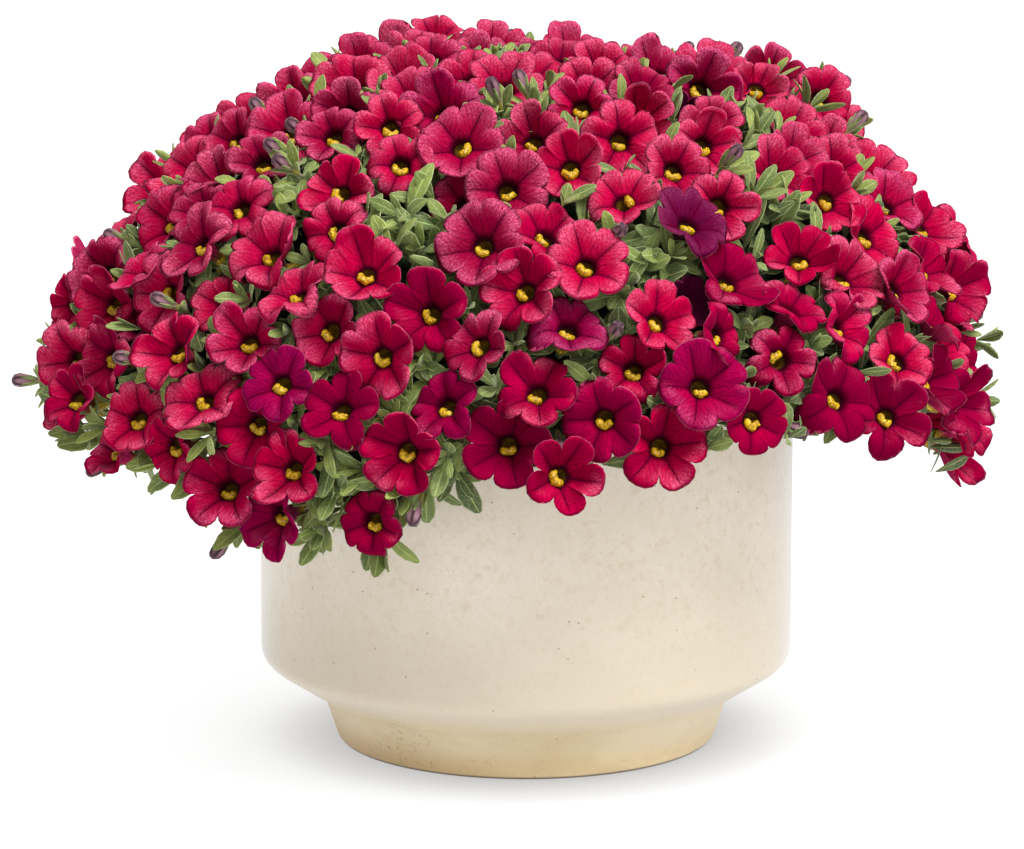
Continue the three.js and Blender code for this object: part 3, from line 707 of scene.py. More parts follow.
bunches = [cad_blooms(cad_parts[f"blooms_{k + 1:02d}"]) for k in shoots]
owner = np.concatenate([np.full(len(bunch), k) for k, bunch in enumerate(bunches)])
centre, facing, notch_way, size = np.concatenate(bunches).transpose(1, 0, 2)
size = np.minimum(size[:, 0] * random.uniform(0.94, 1.15, len(size)), WIDEST_BLOOM / 2)
upper_count = len(centre)

# Spots to try all over the mound, in a golden-angle spiral.
spiral = np.arange(TRY_COUNT)
tries = toward(np.degrees(spiral * math.pi * (3 - math.sqrt(5))),
               np.degrees(np.arcsin(1 - spiral / TRY_COUNT * TRY_SPAN)))
tries = tries[over_mound(tries)]
spots = at_depth(tries, 0)
above_edge = over_mound(unit(tries - [0, 0, 0.09]))

# The upper blooms crowd together and leave leafy gaps between them: each gap pushes them off.
gaps = [int(np.argmax(tries @ toward(*way))) for way in SKIRT_GAPS]
for k in np.argsort(-nearest(centre)):
    if tries[k, 2] > 0.5 and clear_of(k, gaps, GAP_SPACING):
        gaps.append(k)
for k in gaps:
    off = centre - spots[k]
    near = np.linalg.norm(off, axis=1, keepdims=True) < GAP_END
    off = off - (off @ tries[k])[:, None] * tries[k]
    far = np.linalg.norm(off, axis=1, keepdims=True)
    centre += GAP_PUSH * np.exp(-((far / GAP_SPREAD) ** 2)) * off / far * near

# Younger and older blooms stand lower, in the room that the upper ones leave.
room = nearest(centre)
from_gap = nearest(spots[gaps])
low_blooms = []
for k in np.argsort(-room):
    if room[k] < LOW_BLOOM_ROOM:
        break
    if above_edge[k] and from_gap[k] > 20 and clear_of(k, low_blooms, LOW_BLOOM_SPACING):
        low_blooms.append(k)
low = tries[low_blooms]
low_facing = unit(low + [0, 0, 0.1] + random.uniform(-0.35, 0.35, low.shape))
low_way = unit(np.cross(low_facing, random.normal(size=low.shape)))
low_centre = at_depth(low, HIDDEN_BELOW) + random.uniform(-1.5, 1.5, low.shape)
centre = np.concatenate([centre, low_centre])
facing = np.concatenate([facing, low_facing])
notch_way = np.concatenate([notch_way, low_way])
size = np.concatenate([size, random.uniform(*LOW_BLOOM_RADII, len(low))])
owner = np.concatenate([owner, shoot_at(low)])
count = len(centre)
is_low = np.arange(count) >= upper_count
direction = unit(centre - HEART)

# Blooms that overlap lie in layers: they move apart along the mound's own direction.
moved = np.zeros(count)
for _ in range(12):
    at = centre + moved[:, None] * direction
    apart = at[:, None] - at[None]
    rise = np.einsum("abk,ak->ab", apart, direction)
    beside = np.sqrt(np.maximum((apart ** 2).sum(-1) - rise ** 2, 0))
    wanted = LAYER_HEIGHT * np.clip(1 - beside / (0.95 * (size[:, None] + size[None])), 0, 1)
    lacking = np.clip(wanted - np.abs(rise), 0, 9) * (np.linalg.norm(apart, axis=2) < 40)
    np.fill_diagonal(lacking, 0)
    push = (np.where(rise >= 0, 1, -1) * lacking).sum(axis=1)
    moved = np.clip(moved + 0.22 * push, LAYER_DOWN, LAYER_UP)
centre = centre + moved[:, None] * direction
centre[:, 0] -= np.maximum(0, centre[:, 0] + size - RIGHT_EDGE)
centre[:, 0] += np.maximum(0, size - centre[:, 0] - LEFT_EDGE)

# Blooms at both sides and on the crest lean to the front, where the light is.
backward = centre[:, 1]
sideways = ramp(np.abs(direction[:, 0]), 0.3, 1.3) * ramp(backward, 115, 75)
sideways = sideways * (1 + 0.8 * ramp(backward, -50, 30))
crest = ramp(direction[:, 2], 0.55, 0.85) * ramp(backward, 95, 55)
stray = random.uniform(-STRAY_LEAN, STRAY_LEAN, facing.shape)
facing = unit(facing + stray + sideways[:, None] * SIDE_LEAN + crest[:, None] * CREST_LEAN)
peak = centre[:, 2] + size * np.hypot(facing[:, 0], facing[:, 1])
uneven = CREST_UNEVEN * (np.arange(count) * 0.618 % 1)
centre[:, 2] -= np.maximum(0, peak + uneven - HIGHEST_TIP)
notch_way = unit(notch_way - (notch_way * facing).sum(axis=1, keepdims=True) * facing)

# Each bloom's own age and form. The oldest of the low ones are wilted, small and crumpled.
age = np.clip(random.beta(1.2, 3.2, count) + 0.25 * (random.random(count) < 0.1), 0, 1)
age[is_low] = random.beta(1.2, 1.6, len(low))
wilted = is_low & (age > WILTED_FROM)
age[wilted] = 1.0
size[wilted] *= WILTED_SIZE
deep = size * random.uniform(0.38, 0.6, count)
cup = np.clip(random.normal(0.05, 0.5, count), -0.9, 1.2) + 1.1 * wilted
curl = random.normal(-0.55, 0.85, (count, 5)) + 1.4 * wilted[:, None] * random.random((count, 5))
twist = random.normal(0, 0.8, (count, 5)) * (1 + wilted[:, None])
long = 1 + random.normal(0, 0.05, (count, 5))
fold = random.uniform(0.7, 1.5, count)
notched = random.uniform(0.6, 0.82, count)
ruffle = random.uniform(0.2, 1.0, count) * (1 + 1.5 * wilted)
ruffle_turn = random.uniform(0, 2 * math.pi, count)
warmth = random.random(count)
# Painted light: the upper blooms, and those to the left, are painted paler, as if more lit.
pale = -0.02 + (centre[:, 2] - 125) / 105 + 0.5 * ramp(centre[:, 0], 0, -120)
pale = np.clip(pale + random.normal(0, 0.25, count), 0, 1)

LOBE_STEPS = np.array([0, 0.14, 0.28, 0.4, 0.47, 0.5, 0.53, 0.6, 0.72, 0.86])
RIM_SHARES = (0.1, 0.26, 0.46, 0.67, 0.86, 1.0)
TO_LIGHT = unit(np.array([0.2, -0.35, 1.0]))
# Rings of the tube as radius and depth under the mouth: inside it, and outside on the way back.
THROAT = ((1.5, 5.0), (2.0, 2.0))
TUBE = ((3.0, 1.6), (2.4, 6.5))


def spokes(turn, first, second):
    """Directions at these turns from each copy's first axis towards its second."""
    turn = np.broadcast_to(turn, (len(first), np.shape(turn)[-1]))
    return np.cos(turn)[..., None] * first[:, None] + np.sin(turn)[..., None] * second[:, None]


def limbs(which):
    """The spread, five-lobed faces of blooms, each one closed skin on a grid of lobe and share.

    The share goes from 0 at the mouth of the throat to 1 at the rim, and the lobe's own coordinate
    from 0 on its rib to 1 at the notch beside it. The rim's radius is full at the rib and falls to
    the notch as a rounded power. The height is a funnel that flattens outwards, plus the cup of the
    whole face, the curl and twist of each lobe, its folded rib, the seam and a ruffle of the rim.
    Its tone pale is painted light: a point is painted the paler, the higher and farther left its bloom
    stands and the more its side is turned up to the light.
    """
    lobe = (np.arange(5)[:, None] + LOBE_STEPS).ravel()
    turn = 2 * math.pi * (lobe + 0.5) / 5
    off = 2 * np.abs(lobe - np.round(lobe))
    signed = 2 * (lobe - np.round(lobe))
    index = np.round(lobe).astype(int) % 5
    radius, notch = size[which][:, None], notched[which][:, None]
    bulge = (1 - off ** (8 * notch - 2.6)) ** 0.55
    rim = radius * (notch + (1.03 - notch) * bulge * long[which][:, index])
    s = np.array(RIM_SHARES)[None, :, None]
    inside = (1 - off ** 2)[None, None]
    lobe_curl = curl[which][:, index][:, None] * inside
    lobe_twist = (twist[which][:, index] * signed)[:, None] * inside
    cupped, folded, ruffled, mouth = (v[which][:, None, None] for v in (cup, fold, ruffle, deep))
    shift = ruffle_turn[which][:, None]
    wave = np.sin(3 * turn[None] + shift) + 0.6 * np.sin(7 * turn[None] - 2 * shift)
    height = (0.2 * cupped * s ** 2 + 0.25 * lobe_curl * s ** 4 + 0.17 * lobe_twist * s ** 2
              - 0.2 * folded * (1 - off) ** 1.8 * s ** 0.7 * (1.15 - 0.6 * s)
              + 0.05 * np.sin(math.pi * off) * s * (1.2 - s)
              - 0.12 * off ** 5 * s
              + 0.04 * ruffled * wave[:, None] * s ** 2) * radius[:, None]
    height = height - mouth * (1 - s) ** 1.7 + (0.05 - 0.1 * cupped) * radius[:, None]
    out = MOUTH_RADIUS + (rim[:, None] - MOUTH_RADIUS) * s * (1 - 0.13 * np.abs(cupped) * s)
    flat_ring = lambda value: np.full((len(which), 1, len(lobe)), float(value))
    ring = lambda r, depth: (flat_ring(r), flat_ring(-depth) - mouth)
    front = [(out[:, k:k + 1], height[:, k:k + 1]) for k in range(len(RIM_SHARES))]
    rear = [(out[:, k:k + 1], height[:, k:k + 1] - PETAL_THICKNESS * thick)
            for k, thick in ((-2, 1.1), (-3, 1.5), (1, 2.2))]
    parts = [*(ring(*way) for way in THROAT), ring(MOUTH_RADIUS, 0.0), *front, *rear,
             *(ring(*way) for way in TUBE)]
    out, height = (np.concatenate([part[m] for part in parts], axis=1) for m in (0, 1))
    f, a = facing[which], notch_way[which]
    spin = spokes(turn, a, np.cross(f, a))[:, None]
    rings = centre[which][:, None, None] + out[..., None] * spin + height[..., None] * f[:, None, None]
    ends = np.array([THROAT[0][1], TUBE[-1][1]]) + 0.4
    poles = centre[which][:, None] - (mouth[:, :, 0] + ends)[..., None] * f[:, None]
    along = [-1, -0.8, -0.4, 0, *RIM_SHARES, 1.02, 1.15, 1.34, 1.72, 2.1, 2.8]
    ahead = np.roll(rings, -1, axis=2) - np.roll(rings, 1, axis=2)
    # Painted light: each point is paler the more its side faces the light.
    lit = unit(np.cross(np.gradient(rings, axis=1), ahead)) @ TO_LIGHT
    painted_light_share = np.clip(pale[which][:, None, None] - 0.4 + 0.8 * lit, 0, 1)
    return loft(rings, poles, np.append(lobe, 5.0), along,
                age=age[which], warm=warmth[which], pale=painted_light_share)


def pedicels(which):
    """The lower tube of each bloom and its stalk on one curve, from behind the face to the cushion."""
    f, d = facing[which], direction[which]
    start = centre[which] - (deep[which, None] + 6.0) * f
    home = unit(0.75 * d + 0.25 * axes[owner[which]])
    end = at_depth(home, CUSHION_BELOW + 1.5)
    paths = curve(start, start - 5 * f, end + 4 * home, end, 7)
    radii = np.array([2.7, 2.3, 1.9, 1.5, 0.9, 0.8, 0.8])
    return tubes(paths, radii, 7, ODD_WAY, material=1, age=age[which], warm=warmth[which])


def blades(root, ahead, flat, length, width, bend, fold, thickness=0.5, sections=6, **tones):
    """Thin pointed blades: leaves and sepals.

    The middle line leaves the root and bends off the flat side as a parabola. Half the width is
    t**1.1 * (1-t)**0.62 of the way along, scaled to its largest value, with a narrow stalk at the
    root, and the halves fold up from the rib. Six points go round a section: edge, face, rib, face,
    edge and the rib's back.
    """
    t = np.linspace(0.03, 0.965, sections)
    half = t ** 1.1 * (1 - t) ** 0.62
    half = np.maximum(half / half.max(), 0.16 * (1 - t))
    t, half = t[None, :, None], half[None, :, None]
    x = np.array([-1, -0.78, 0, 0.78, 1, 0])
    z = np.array([0, 0.5, 0.35, 0.5, 0, -0.5])
    side = np.cross(ahead, flat)
    length, width, bend, fold = (np.broadcast_to(v, len(root))[:, None, None]
                                 for v in (length, width, bend, fold))
    span = width / 2 * half
    lift = (fold * span * np.abs(x) + thickness * z * (0.35 + 0.65 * half)
            - 0.5 * bend * length * t ** 2)
    vec = lambda v: v[:, None, None]
    rings = (vec(root) + (length * t)[..., None] * vec(ahead) + (span * x)[..., None] * vec(side)
             + lift[..., None] * vec(flat))
    ends = np.array([0.0, 1.0])[None, :, None]
    far_end = length[:, :1] * ahead[:, None] - 0.5 * bend[:, :1] * length[:, :1] * flat[:, None]
    poles = root[:, None] + ends * far_end
    return loft(rings, poles, [0, 0.11, 0.5, 0.89, 1, 0.5, 0], [0, *t.ravel(), 1], 2, **tones)


def sepals(root, along_stalk, out, lean, length, width, bend, tone, light):
    """Five narrow leaves round a stalk. Each leans out from it and turns its flat side to it."""
    way = unit(along_stalk[:, None] + lean * out)
    flat = unit(np.cross(np.cross(way, -out), way))
    root, way, flat = (v.reshape(-1, 3) for v in (root, way, flat))
    return blades(root, way, flat, length, width, bend, 0.1, sections=3, tone=tone, light=light)


def calyces(which):
    """Five sepals round each tube, spread a little from it."""
    f, a = facing[which], notch_way[which]
    out = spokes(np.arange(5) / 5 * 2 * math.pi + 0.6, a, np.cross(f, a))
    root = (centre[which] - (deep[which, None] + 12.5) * f)[:, None] + 0.9 * out
    lean = random.uniform(0.2, 0.5, (len(which), 5, 1))
    n = 5 * len(which)
    length, tone, light = (random.uniform(*ends, n) for ends in ((0.8, 1.1), (0.3, 0.7), (0.3, 0.7)))
    return sepals(root, f, out, lean, length * CALYX_LENGTH, 2.1, -0.25, tone, light)


def anthers(which):
    """Golden anthers, crowded into one lumpy crescent on the lower side of each throat's mouth."""
    n = len(which)
    f = facing[which]
    low_side = unit(np.cross(f, np.cross([-0.4, 0.0, -1.0], f)) + random.normal(0, 0.4, f.shape))
    low_side = unit(low_side - (low_side * f).sum(axis=1, keepdims=True) * f)
    turn = np.linspace(-1, 1, 8) * random.uniform(1.1, 1.9, (n, 1)) + random.uniform(-0.3, 0.3, (n, 1))
    out = spokes(turn, low_side, np.cross(f, low_side))
    throat = centre[which] - (deep[which, None] - 0.7) * f
    paths = throat[:, None] + random.uniform(1.8, 2.5, (n, 8, 1)) * out
    paths = paths + random.uniform(-0.3, 0.4, (n, 8, 1)) * f[:, None]
    radii = np.array([0.6, 1.4, 1.6, 1.4, 1.65, 1.45, 1.35, 0.5]) * random.uniform(0.8, 1.15, (n, 8))
    return tubes(paths, radii, 6, f[:, None], material=3)


def on_skin(tree):
    """The surface's own two coordinates, around it and along it."""
    return put(tree, "SeparateXYZ", {0: put(tree, "UVMap", uv_map="skin").outputs[0]}).outputs[:2]


def tone_of(tree, name):
    """A piece's own number, such as its age."""
    return put(tree, "Attribute", attribute_name=name).outputs["Fac"]


satin, tree, shader = new_material("crimson_petal", 0.6, specular_ior_level=0.0, sheen_weight=0.05,
                                   sheen_roughness=0.3, sheen_tint=(1.0, 0.16, 0.4, 1.0))
place = put(tree, "TexCoord").outputs["Object"]
lobe_at, share_at = on_skin(tree)
old, warm, painted_light_at = (tone_of(tree, name) for name in ("age", "warm", "pale"))
off_rib = times(tree, calc(tree, "PINGPONG", lobe_at, 0.5), 2.0)
radial = calc(tree, "MINIMUM", share_at, minus(tree, 2.0, share_at))
mottle = noise(tree, place, 210.0, 3.0, 0.6)
grain = noise(tree, place, 1500.0, 2.0, 0.6)
net = put(tree, "TexVoronoi", {"Vector": place, "Scale": 900.0}, feature="DISTANCE_TO_EDGE").outputs[0]


def drawn_out(across, outward):
    """A place on the petal whose patterns run from throat to rim, other on every bloom."""
    spread = {0: times(tree, lobe_at, across), 1: times(tree, radial, outward), 2: times(tree, warm, 40.0)}
    return put(tree, "CombineXYZ", spread).outputs[0]


streak = noise(tree, drawn_out(16.0, 1.6), 1.0, 2.0, 0.6)
streaks = fade(tree, streak, 0.3, 0.7)
veinlets = noise(tree, drawn_out(70.0, 9.0), 1.0, 1.0)
width = times(tree, off_rib, plus(tree, radial, 0.12))
feather = minus(tree, times(tree, width, 5.5), times(tree, radial, 7.0))
feather = calc(tree, "PINGPONG", plus(tree, feather, times(tree, mottle, 1.6)), 0.5)
veins = fade(tree, feather, 0.0, 0.16, 1.0, 0.0)
rib = times(tree, fade(tree, width, 0.0, 0.055, 1.0, 0.0), fade(tree, radial, 0.7, 0.98, 1.0, 0.1))
# Painted shade in the wide fold along each rib; the narrow dark rib line is the petal's own colour.
rib_fold_shade = times(tree, fade(tree, width, 0.0, 0.22, 1.0, 0.0), fade(tree, radial, 0.5, 1.0, 0.55, 0.1))
aged = fade(tree, plus(tree, old, times(tree, radial, 0.2)), 0.5, 1.1)
magenta = layered(tree, tint(150, 6, 72), (streaks, tint(112, 3, 58)))
# Pale pink frost of the satin, and painted highlight: it grows with the painted light.
frost_and_highlight = fade(tree, plus(tree, noise(tree, place, 70.0), times(tree, painted_light_at, 0.45)), 0.63, 0.99)
frost_and_highlight = times(tree, fade(tree, radial, 0.3, 1.0, 0.05, 0.85), fade(tree, net, 0.0, 0.4, 1.0, 0.45), frost_and_highlight,
              fade(tree, veinlets, 0.35, 0.65, 0.25, 1.0), fade(tree, grain, 0.36, 0.64, 0.5, 1.25))
frost_highlight_pink = layered(tree, tint(242, 118, 152), (old, tint(214, 98, 150)))
# The pale rim of each petal, painted brighter where the painted light is.
pale_rim_and_light = times(tree, fade(tree, radial, 0.955, 1.0, 0.0, 0.65), fade(tree, painted_light_at, 0.0, 0.6, 0.6, 1.0))
ring_edge = plus(tree, radial, times(tree, minus(tree, streak, 0.5), 0.1))
red = layered(
    tree, tint(178, 0, 60),
    (streaks, tint(148, 0, 51)),
    (fade(tree, warm, 0.2, 1.0, 0.0, 0.7), tint(188, 0, 60)),  # warmer blooms
    (fade(tree, warm, 0.0, 0.5, 0.7, 0.0), tint(124, 0, 46)),  # and deeper ones
    (fade(tree, mottle, 0.42, 0.75, 0.0, 0.5), tint(128, 0, 45)),
    (fade(tree, painted_light_at, 0.0, 0.55, 0.6, 0.0), tint(102, 0, 40)),  # painted shade: where the painted light is low, the blooms are darkest
    (aged, magenta),
    (frost_and_highlight, frost_highlight_pink),  # the pale pink bloom of the satin between its finest veins, with painted highlight where the painted light is strong
    (times(tree, veins, fade(tree, radial, 0.0, 1.0, 0.6, 0.25)), tint(98, 0, 34)),
    (fade(tree, old, 0.85, 1.0, 0.0, 0.8), tint(66, 8, 46)),  # wilted ones turn purple
    (pale_rim_and_light, tint(222, 100, 134)),
    # painted shade in the rib's fold
    (rib_fold_shade, tint(92, 0, 34)),
    (times(tree, rib, 0.75), tint(56, 0, 26)),
    (fade(tree, ring_edge, 0.0, 0.2, 1.0, 0.0), tint(44, 2, 18)),  # the dark ring
)
rear = layered(tree, tint(176, 44, 88), (streaks, tint(150, 24, 72)),
               (times(tree, rib, 0.7), tint(110, 22, 60)),
               (fade(tree, old, 0.5, 1.0, 0.0, 0.7), tint(126, 62, 110)))
gold = layered(tree, tint(132, 102, 18), (fade(tree, streak, 0.35, 0.65), tint(82, 56, 14)))
# Painted shade: the throat's wall darkens to brown towards the mouth.
gold = layered(tree, gold, (fade(tree, share_at, -0.45, -0.05), tint(48, 26, 14)))
tube_yellow = layered(tree, tint(216, 178, 50), (fade(tree, streak, 0.45, 0.6, 0.0, 0.8), tint(96, 62, 40)))
red = layered(tree, rear, (calc(tree, "LESS_THAN", share_at, 1.01), red),
              (fade(tree, share_at, -0.08, 0.0, 1.0, 0.0), gold),
              (fade(tree, share_at, 1.75, 2.2), tube_yellow))
wire(tree, shader, "Base Color", red)
relief = plus(tree, times(tree, streak, 0.7), minus(tree, times(tree, net, 0.6), times(tree, veins, 0.35)))
bumpy(tree, shader, 0.55, 0.0006, relief)

# Dark lines at even turns round a tube, with paler folds between them.
flutes, given, result = new_effect("flutes", ["Around", "Count", "Width"], ["Mask"])
wave = calc(flutes, "PINGPONG", times(flutes, given["Around"], given["Count"]), 0.5)
wire(flutes, result, "Mask", fade(flutes, wave, 0.06, given["Width"], 1.0, 0.0))

tube_skin, tree, shader = new_material("yellow_tube", 0.5, specular_ior_level=0.3)
round_at, down_at = on_skin(tree)
lines = put(tree, "Group", {"Around": round_at, "Count": 10.0, "Width": 0.3}, node_tree=flutes).outputs[0]
wire(tree, shader, "Base Color", layered(
    tree, tint(220, 184, 48),
    (times(tree, lines, 0.6), tint(92, 60, 42)),
    (fade(tree, down_at, 0.35, 0.6), tint(120, 142, 70)),  # green stalk
))

golden, tree, shader = new_material("anther", 0.3, specular_ior_level=0.5)
pollen = noise(tree, put(tree, "TexCoord").outputs["Object"], 1100.0)
wire(tree, shader, "Base Color", layered(
    tree, tint(228, 184, 18), (fade(tree, pollen, 0.35, 0.65), tint(164, 122, 12))))
bumpy(tree, shader, 1.0, 0.0007, pollen)

# ---------- Leaves ----------
# Small, hairy, spatula-shaped leaves with a pale rib and edge. They grow in tufts at the ends of the
# side twigs, between the blooms, singly over the cushions, and hang out under the skirt.

CAD_LEAF = 27.0
LEAF_THICKNESS = 0.55
CREST_LEAVES_BELOW = 8.0
TUFT_ROOM = 9.0
TUFT_ROOM_LOWER = 12.5
TUFT_ROOM_SIDES = 14.0
TUFT_SPACING = 15.0
TUFT_SPACING_IN_GAPS = 11.0
MOST_TUFTS = 300
GOLDEN_TURN = 2.39996
LOOSE_LEAVES = 3400
HANGING_TUFTS = 44
SHORTEST_LEAF = 6.0
HIGHEST_LEAF = HIGHEST_TIP - CREST_LEAVES_BELOW

felt, tree, shader = new_material("hairy_leaf", 0.62, specular_ior_level=0.3, sheen_weight=0.35,
                                  sheen_roughness=0.45, sheen_tint=(0.9, 1.0, 0.66, 1.0))
place = put(tree, "TexCoord").outputs["Object"]
across_at, along_at = on_skin(tree)
light = tone_of(tree, "light")
off_rib = times(tree, calc(tree, "ABSOLUTE", minus(tree, across_at, 0.5)), 2.0)
side_line = minus(tree, times(tree, along_at, 6.0), times(tree, off_rib, 1.6))
side_line = calc(tree, "PINGPONG", side_line, 0.5)
hair = put(tree, "Group", {"Place": place, "Scale": 2600.0, "Cover": 0.35}, node_tree=hairs).outputs[0]
green = layered(
    tree, tint(86, 104, 52),
    (tone_of(tree, "tone"), tint(124, 140, 68)),
    (fade(tree, light, 0.6, 1.0, 0.0, 0.8), tint(142, 153, 62)),  # painted light: leaves set high up or near the faces
    (fade(tree, light, 0.0, 0.4, 0.8, 0.0), tint(56, 68, 38)),  # painted shade: leaves deep in the mound
    (fade(tree, noise(tree, place, 260.0, 3.0, 0.6), 0.4, 0.7, 0.0, 0.5), tint(70, 88, 44)),
    (fade(tree, side_line, 0.0, 0.1, 0.3, 0.0), tint(146, 164, 104)),  # side veins
    (fade(tree, off_rib, 0.02, 0.12, 0.8, 0.0), tint(172, 184, 112)),  # rib
    (fade(tree, off_rib, 0.82, 1.0, 0.0, 0.8), tint(184, 192, 132)),  # edge
    (hair, tint(196, 204, 156)),
)
wire(tree, shader, "Base Color", green)
bumpy(tree, shader, 0.4, 0.0004, plus(tree, times(tree, hair, 0.5), side_line))


def crosses_blooms(root, ahead, flat, length, bend, width):
    """Whether a bent leaf would lie over a bloom's face, or stand in its funnel or its tube."""
    t = np.array([0.12, 0.3, 0.48, 0.64, 0.78, 0.9, 1.0])[None, :, None]
    half = np.array([0.2, 0.4, 0.48, 0.5, 0.42, 0.25, 0.0])[None, :, None]
    line = (root[:, None] + t * (ahead * length[:, None])[:, None]
            - 0.5 * t ** 2 * (flat * (bend * length)[:, None])[:, None])
    side = (np.cross(ahead, flat) * width[:, None])[:, None] * half
    p = np.concatenate([line - side, line, line + side], axis=1)
    hit = np.zeros(len(root), bool)
    for k in range(0, count, 40):
        c, f, r, d = (v[k:k + 40] for v in (centre, facing, size, deep))
        gap = p[:, :, None] - c[None, None]
        above = np.einsum("abkc,kc->abk", gap, f)
        far = np.sqrt(np.maximum((gap ** 2).sum(-1) - above ** 2, 0))
        face = -d * np.clip(1 - far / r, 0, 1) ** 1.7 - 0.15 * r
        over = (above > face - 0.6) & (above < 9) & (far < np.where(above < 1.5, 0.95, 0.6) * r)
        within = (above > -d - 7) & (above < 9) & (far < 3.4)
        hit |= (over | within).any(axis=(1, 2))
    return hit


def cad_sprigs(node):
    """The leaves and buds of a shoot's solid: its points that stand out of the cushion, in touching
    groups. A group's longest axis is the leaf's, and a bud is as thick as it is wide."""
    points, faces = welded(node)
    proud = np.linalg.norm(points - HEART, axis=1) > reach(unit(points - HEART)) - CUSHION_BELOW + 0.3
    group = np.arange(len(points))
    inner = faces[proud[faces].all(axis=1)]
    for _ in range(12):
        np.minimum.at(group, inner.ravel(), np.repeat(group[inner].min(axis=1), 3))
        group = group[group]
    leaves, buds = [], []
    for label in np.unique(group[proud]):
        p = points[proud & (group == label)]
        if len(p) < 4:
            continue
        _, spread, ways = np.linalg.svd(p - p.mean(axis=0), full_matrices=False)
        ahead = ways[0] * np.sign(ways[0] @ unit(p.mean(axis=0) - HEART))
        tip = p[np.argmax(p @ ahead)]
        flat = ways[2] * np.sign(ways[2] @ unit(tip - HEART) + 1e-9)
        kind = buds if len(p) <= 5 and spread[2] > 0.5 * spread[1] else leaves
        kind.append([tip, ahead, flat])
    return np.array(leaves).reshape(-1, 3, 3), np.array(buds).reshape(-1, 3, 3)


def tuft(base, axis, leaves, low, high, shortest, longest):
    """Leaves round the end of a twig. They leave it at angles between low and high, in golden turns,
    and the flattest and longest are the lowest."""
    n = len(base)
    k = np.arange(leaves)
    share = k / (leaves - 1)
    turn = k * GOLDEN_TURN + random.uniform(0, 6.28, n)[:, None]
    tilt = np.radians(low + (high - low) * share ** 0.8) + random.normal(0, 0.12, (n, leaves))
    tilt = tilt[..., None]
    a = unit(np.cross(axis, random.normal(size=(n, 3))))
    out = spokes(turn, a, np.cross(axis, a))
    ahead = np.cos(tilt) * axis[:, None] + np.sin(tilt) * out
    flat = unit(np.sin(tilt) * axis[:, None] - np.cos(tilt) * out)
    length = shortest + (longest - shortest) * share + random.uniform(-2, 2, (n, leaves))
    root = base[:, None] - 0.6 * k[None, :, None] * axis[:, None]
    return root.reshape(-1, 3), ahead.reshape(-1, 3), flat.reshape(-1, 3), length.ravel()


sprigs = [cad_sprigs(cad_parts[f"shoot_{k + 1:02d}"]) for k in shoots]
cad_leaves = np.concatenate([leaves for leaves, _ in sprigs])
cad_buds = np.concatenate([buds for _, buds in sprigs])
leaf_tip, leaf_ahead, leaf_flat = cad_leaves.transpose(1, 0, 2)
leaf_root = leaf_tip - CAD_LEAF * leaf_ahead

# Tufts grow beside the solid's leaves and in the roomiest gaps between the blooms, more of them on
# the crest and low on the left.
room = nearest(centre)
gap_tufts = []
for k in np.argsort(-room):
    if room[k] < TUFT_ROOM or len(gap_tufts) > MOST_TUFTS:
        break
    low_left = spots[k, 0] < -30 and spots[k, 1] < 20 and tries[k, 2] < 0.45
    on_side = abs(spots[k, 0]) > 70 and tries[k, 2] > 0.25
    least = TUFT_ROOM_SIDES if on_side else TUFT_ROOM_LOWER
    if room[k] < least and tries[k, 2] < 0.62 and not low_left:
        continue
    if clear_of(k, gap_tufts, TUFT_SPACING_IN_GAPS if from_gap[k] < 16 else TUFT_SPACING):
        gap_tufts.append(k)
gap_try = tries[gap_tufts]
gap_way = unit(gap_try + random.uniform(-0.15, 0.15, gap_try.shape))
leaf_way = unit(leaf_root - HEART)
shallow, sunk = (random.uniform(*depths, len(gap_tufts)) for depths in ((0, 5), (5, 10)))
sunk = np.where(gap_try[:, 2] > 0.55, shallow, sunk)
tuft_base = np.concatenate([at_depth(gap_try, sunk), at_depth(leaf_way, 10.0)])
tuft_axis = np.concatenate([gap_way, unit(leaf_way + leaf_ahead)])
tuft_axis = unit(tuft_axis + random.uniform(-0.2, 0.2, tuft_base.shape))
in_tufts = tuft(tuft_base, tuft_axis, 9, 14, 82, 11, 21)

# Single leaves stand all over the cushions.
loose_turn = random.uniform(0, 360, LOOSE_LEAVES)
loose_rise = np.degrees(np.arcsin(random.uniform(-0.28, 1, LOOSE_LEAVES)))
loose = toward(loose_turn, loose_rise)
loose = loose[over_mound(loose + [0, 0, 0.02])]
loose_ahead = unit(loose + random.normal(0, 0.55, loose.shape))
loose_side = np.cross(loose_ahead, loose + random.normal(0, 0.5, loose.shape))
loose_flat = unit(np.cross(loose_side, loose_ahead))
single = (at_depth(loose, CUSHION_BELOW - 1), loose_ahead, loose_flat, random.uniform(12, 22, len(loose)))

# Tufts hang out and down under the skirt's edge, which lies halfway to the axes under the skirt.
hang = np.arange(HANGING_TUFTS)
hang_turn = hang * 360 / HANGING_TUFTS + random.uniform(-3, 3, HANGING_TUFTS)
fan = toward(hang_turn[:, None], np.linspace(-20, 20, 161)[None])
hang_way = fan[hang, np.argmax(over_mound(fan), axis=1)]
hang_axis = hang_way * [1, 1, 0]
hang_axis[:, 2] = random.uniform(-0.9, -0.2, HANGING_TUFTS)
left_front = (hang_turn > 205) & (hang_turn < 262)
behind = (hang % 4 == 0) & (hang_turn > 50) & (hang_turn < 150)
hang_way, hang_axis = (v[left_front | behind] for v in (hang_way, unit(hang_axis)))
hanging = tuft(at_depth(hang_way, 15.0), hang_axis, 8, 12, 78, 9, 19)

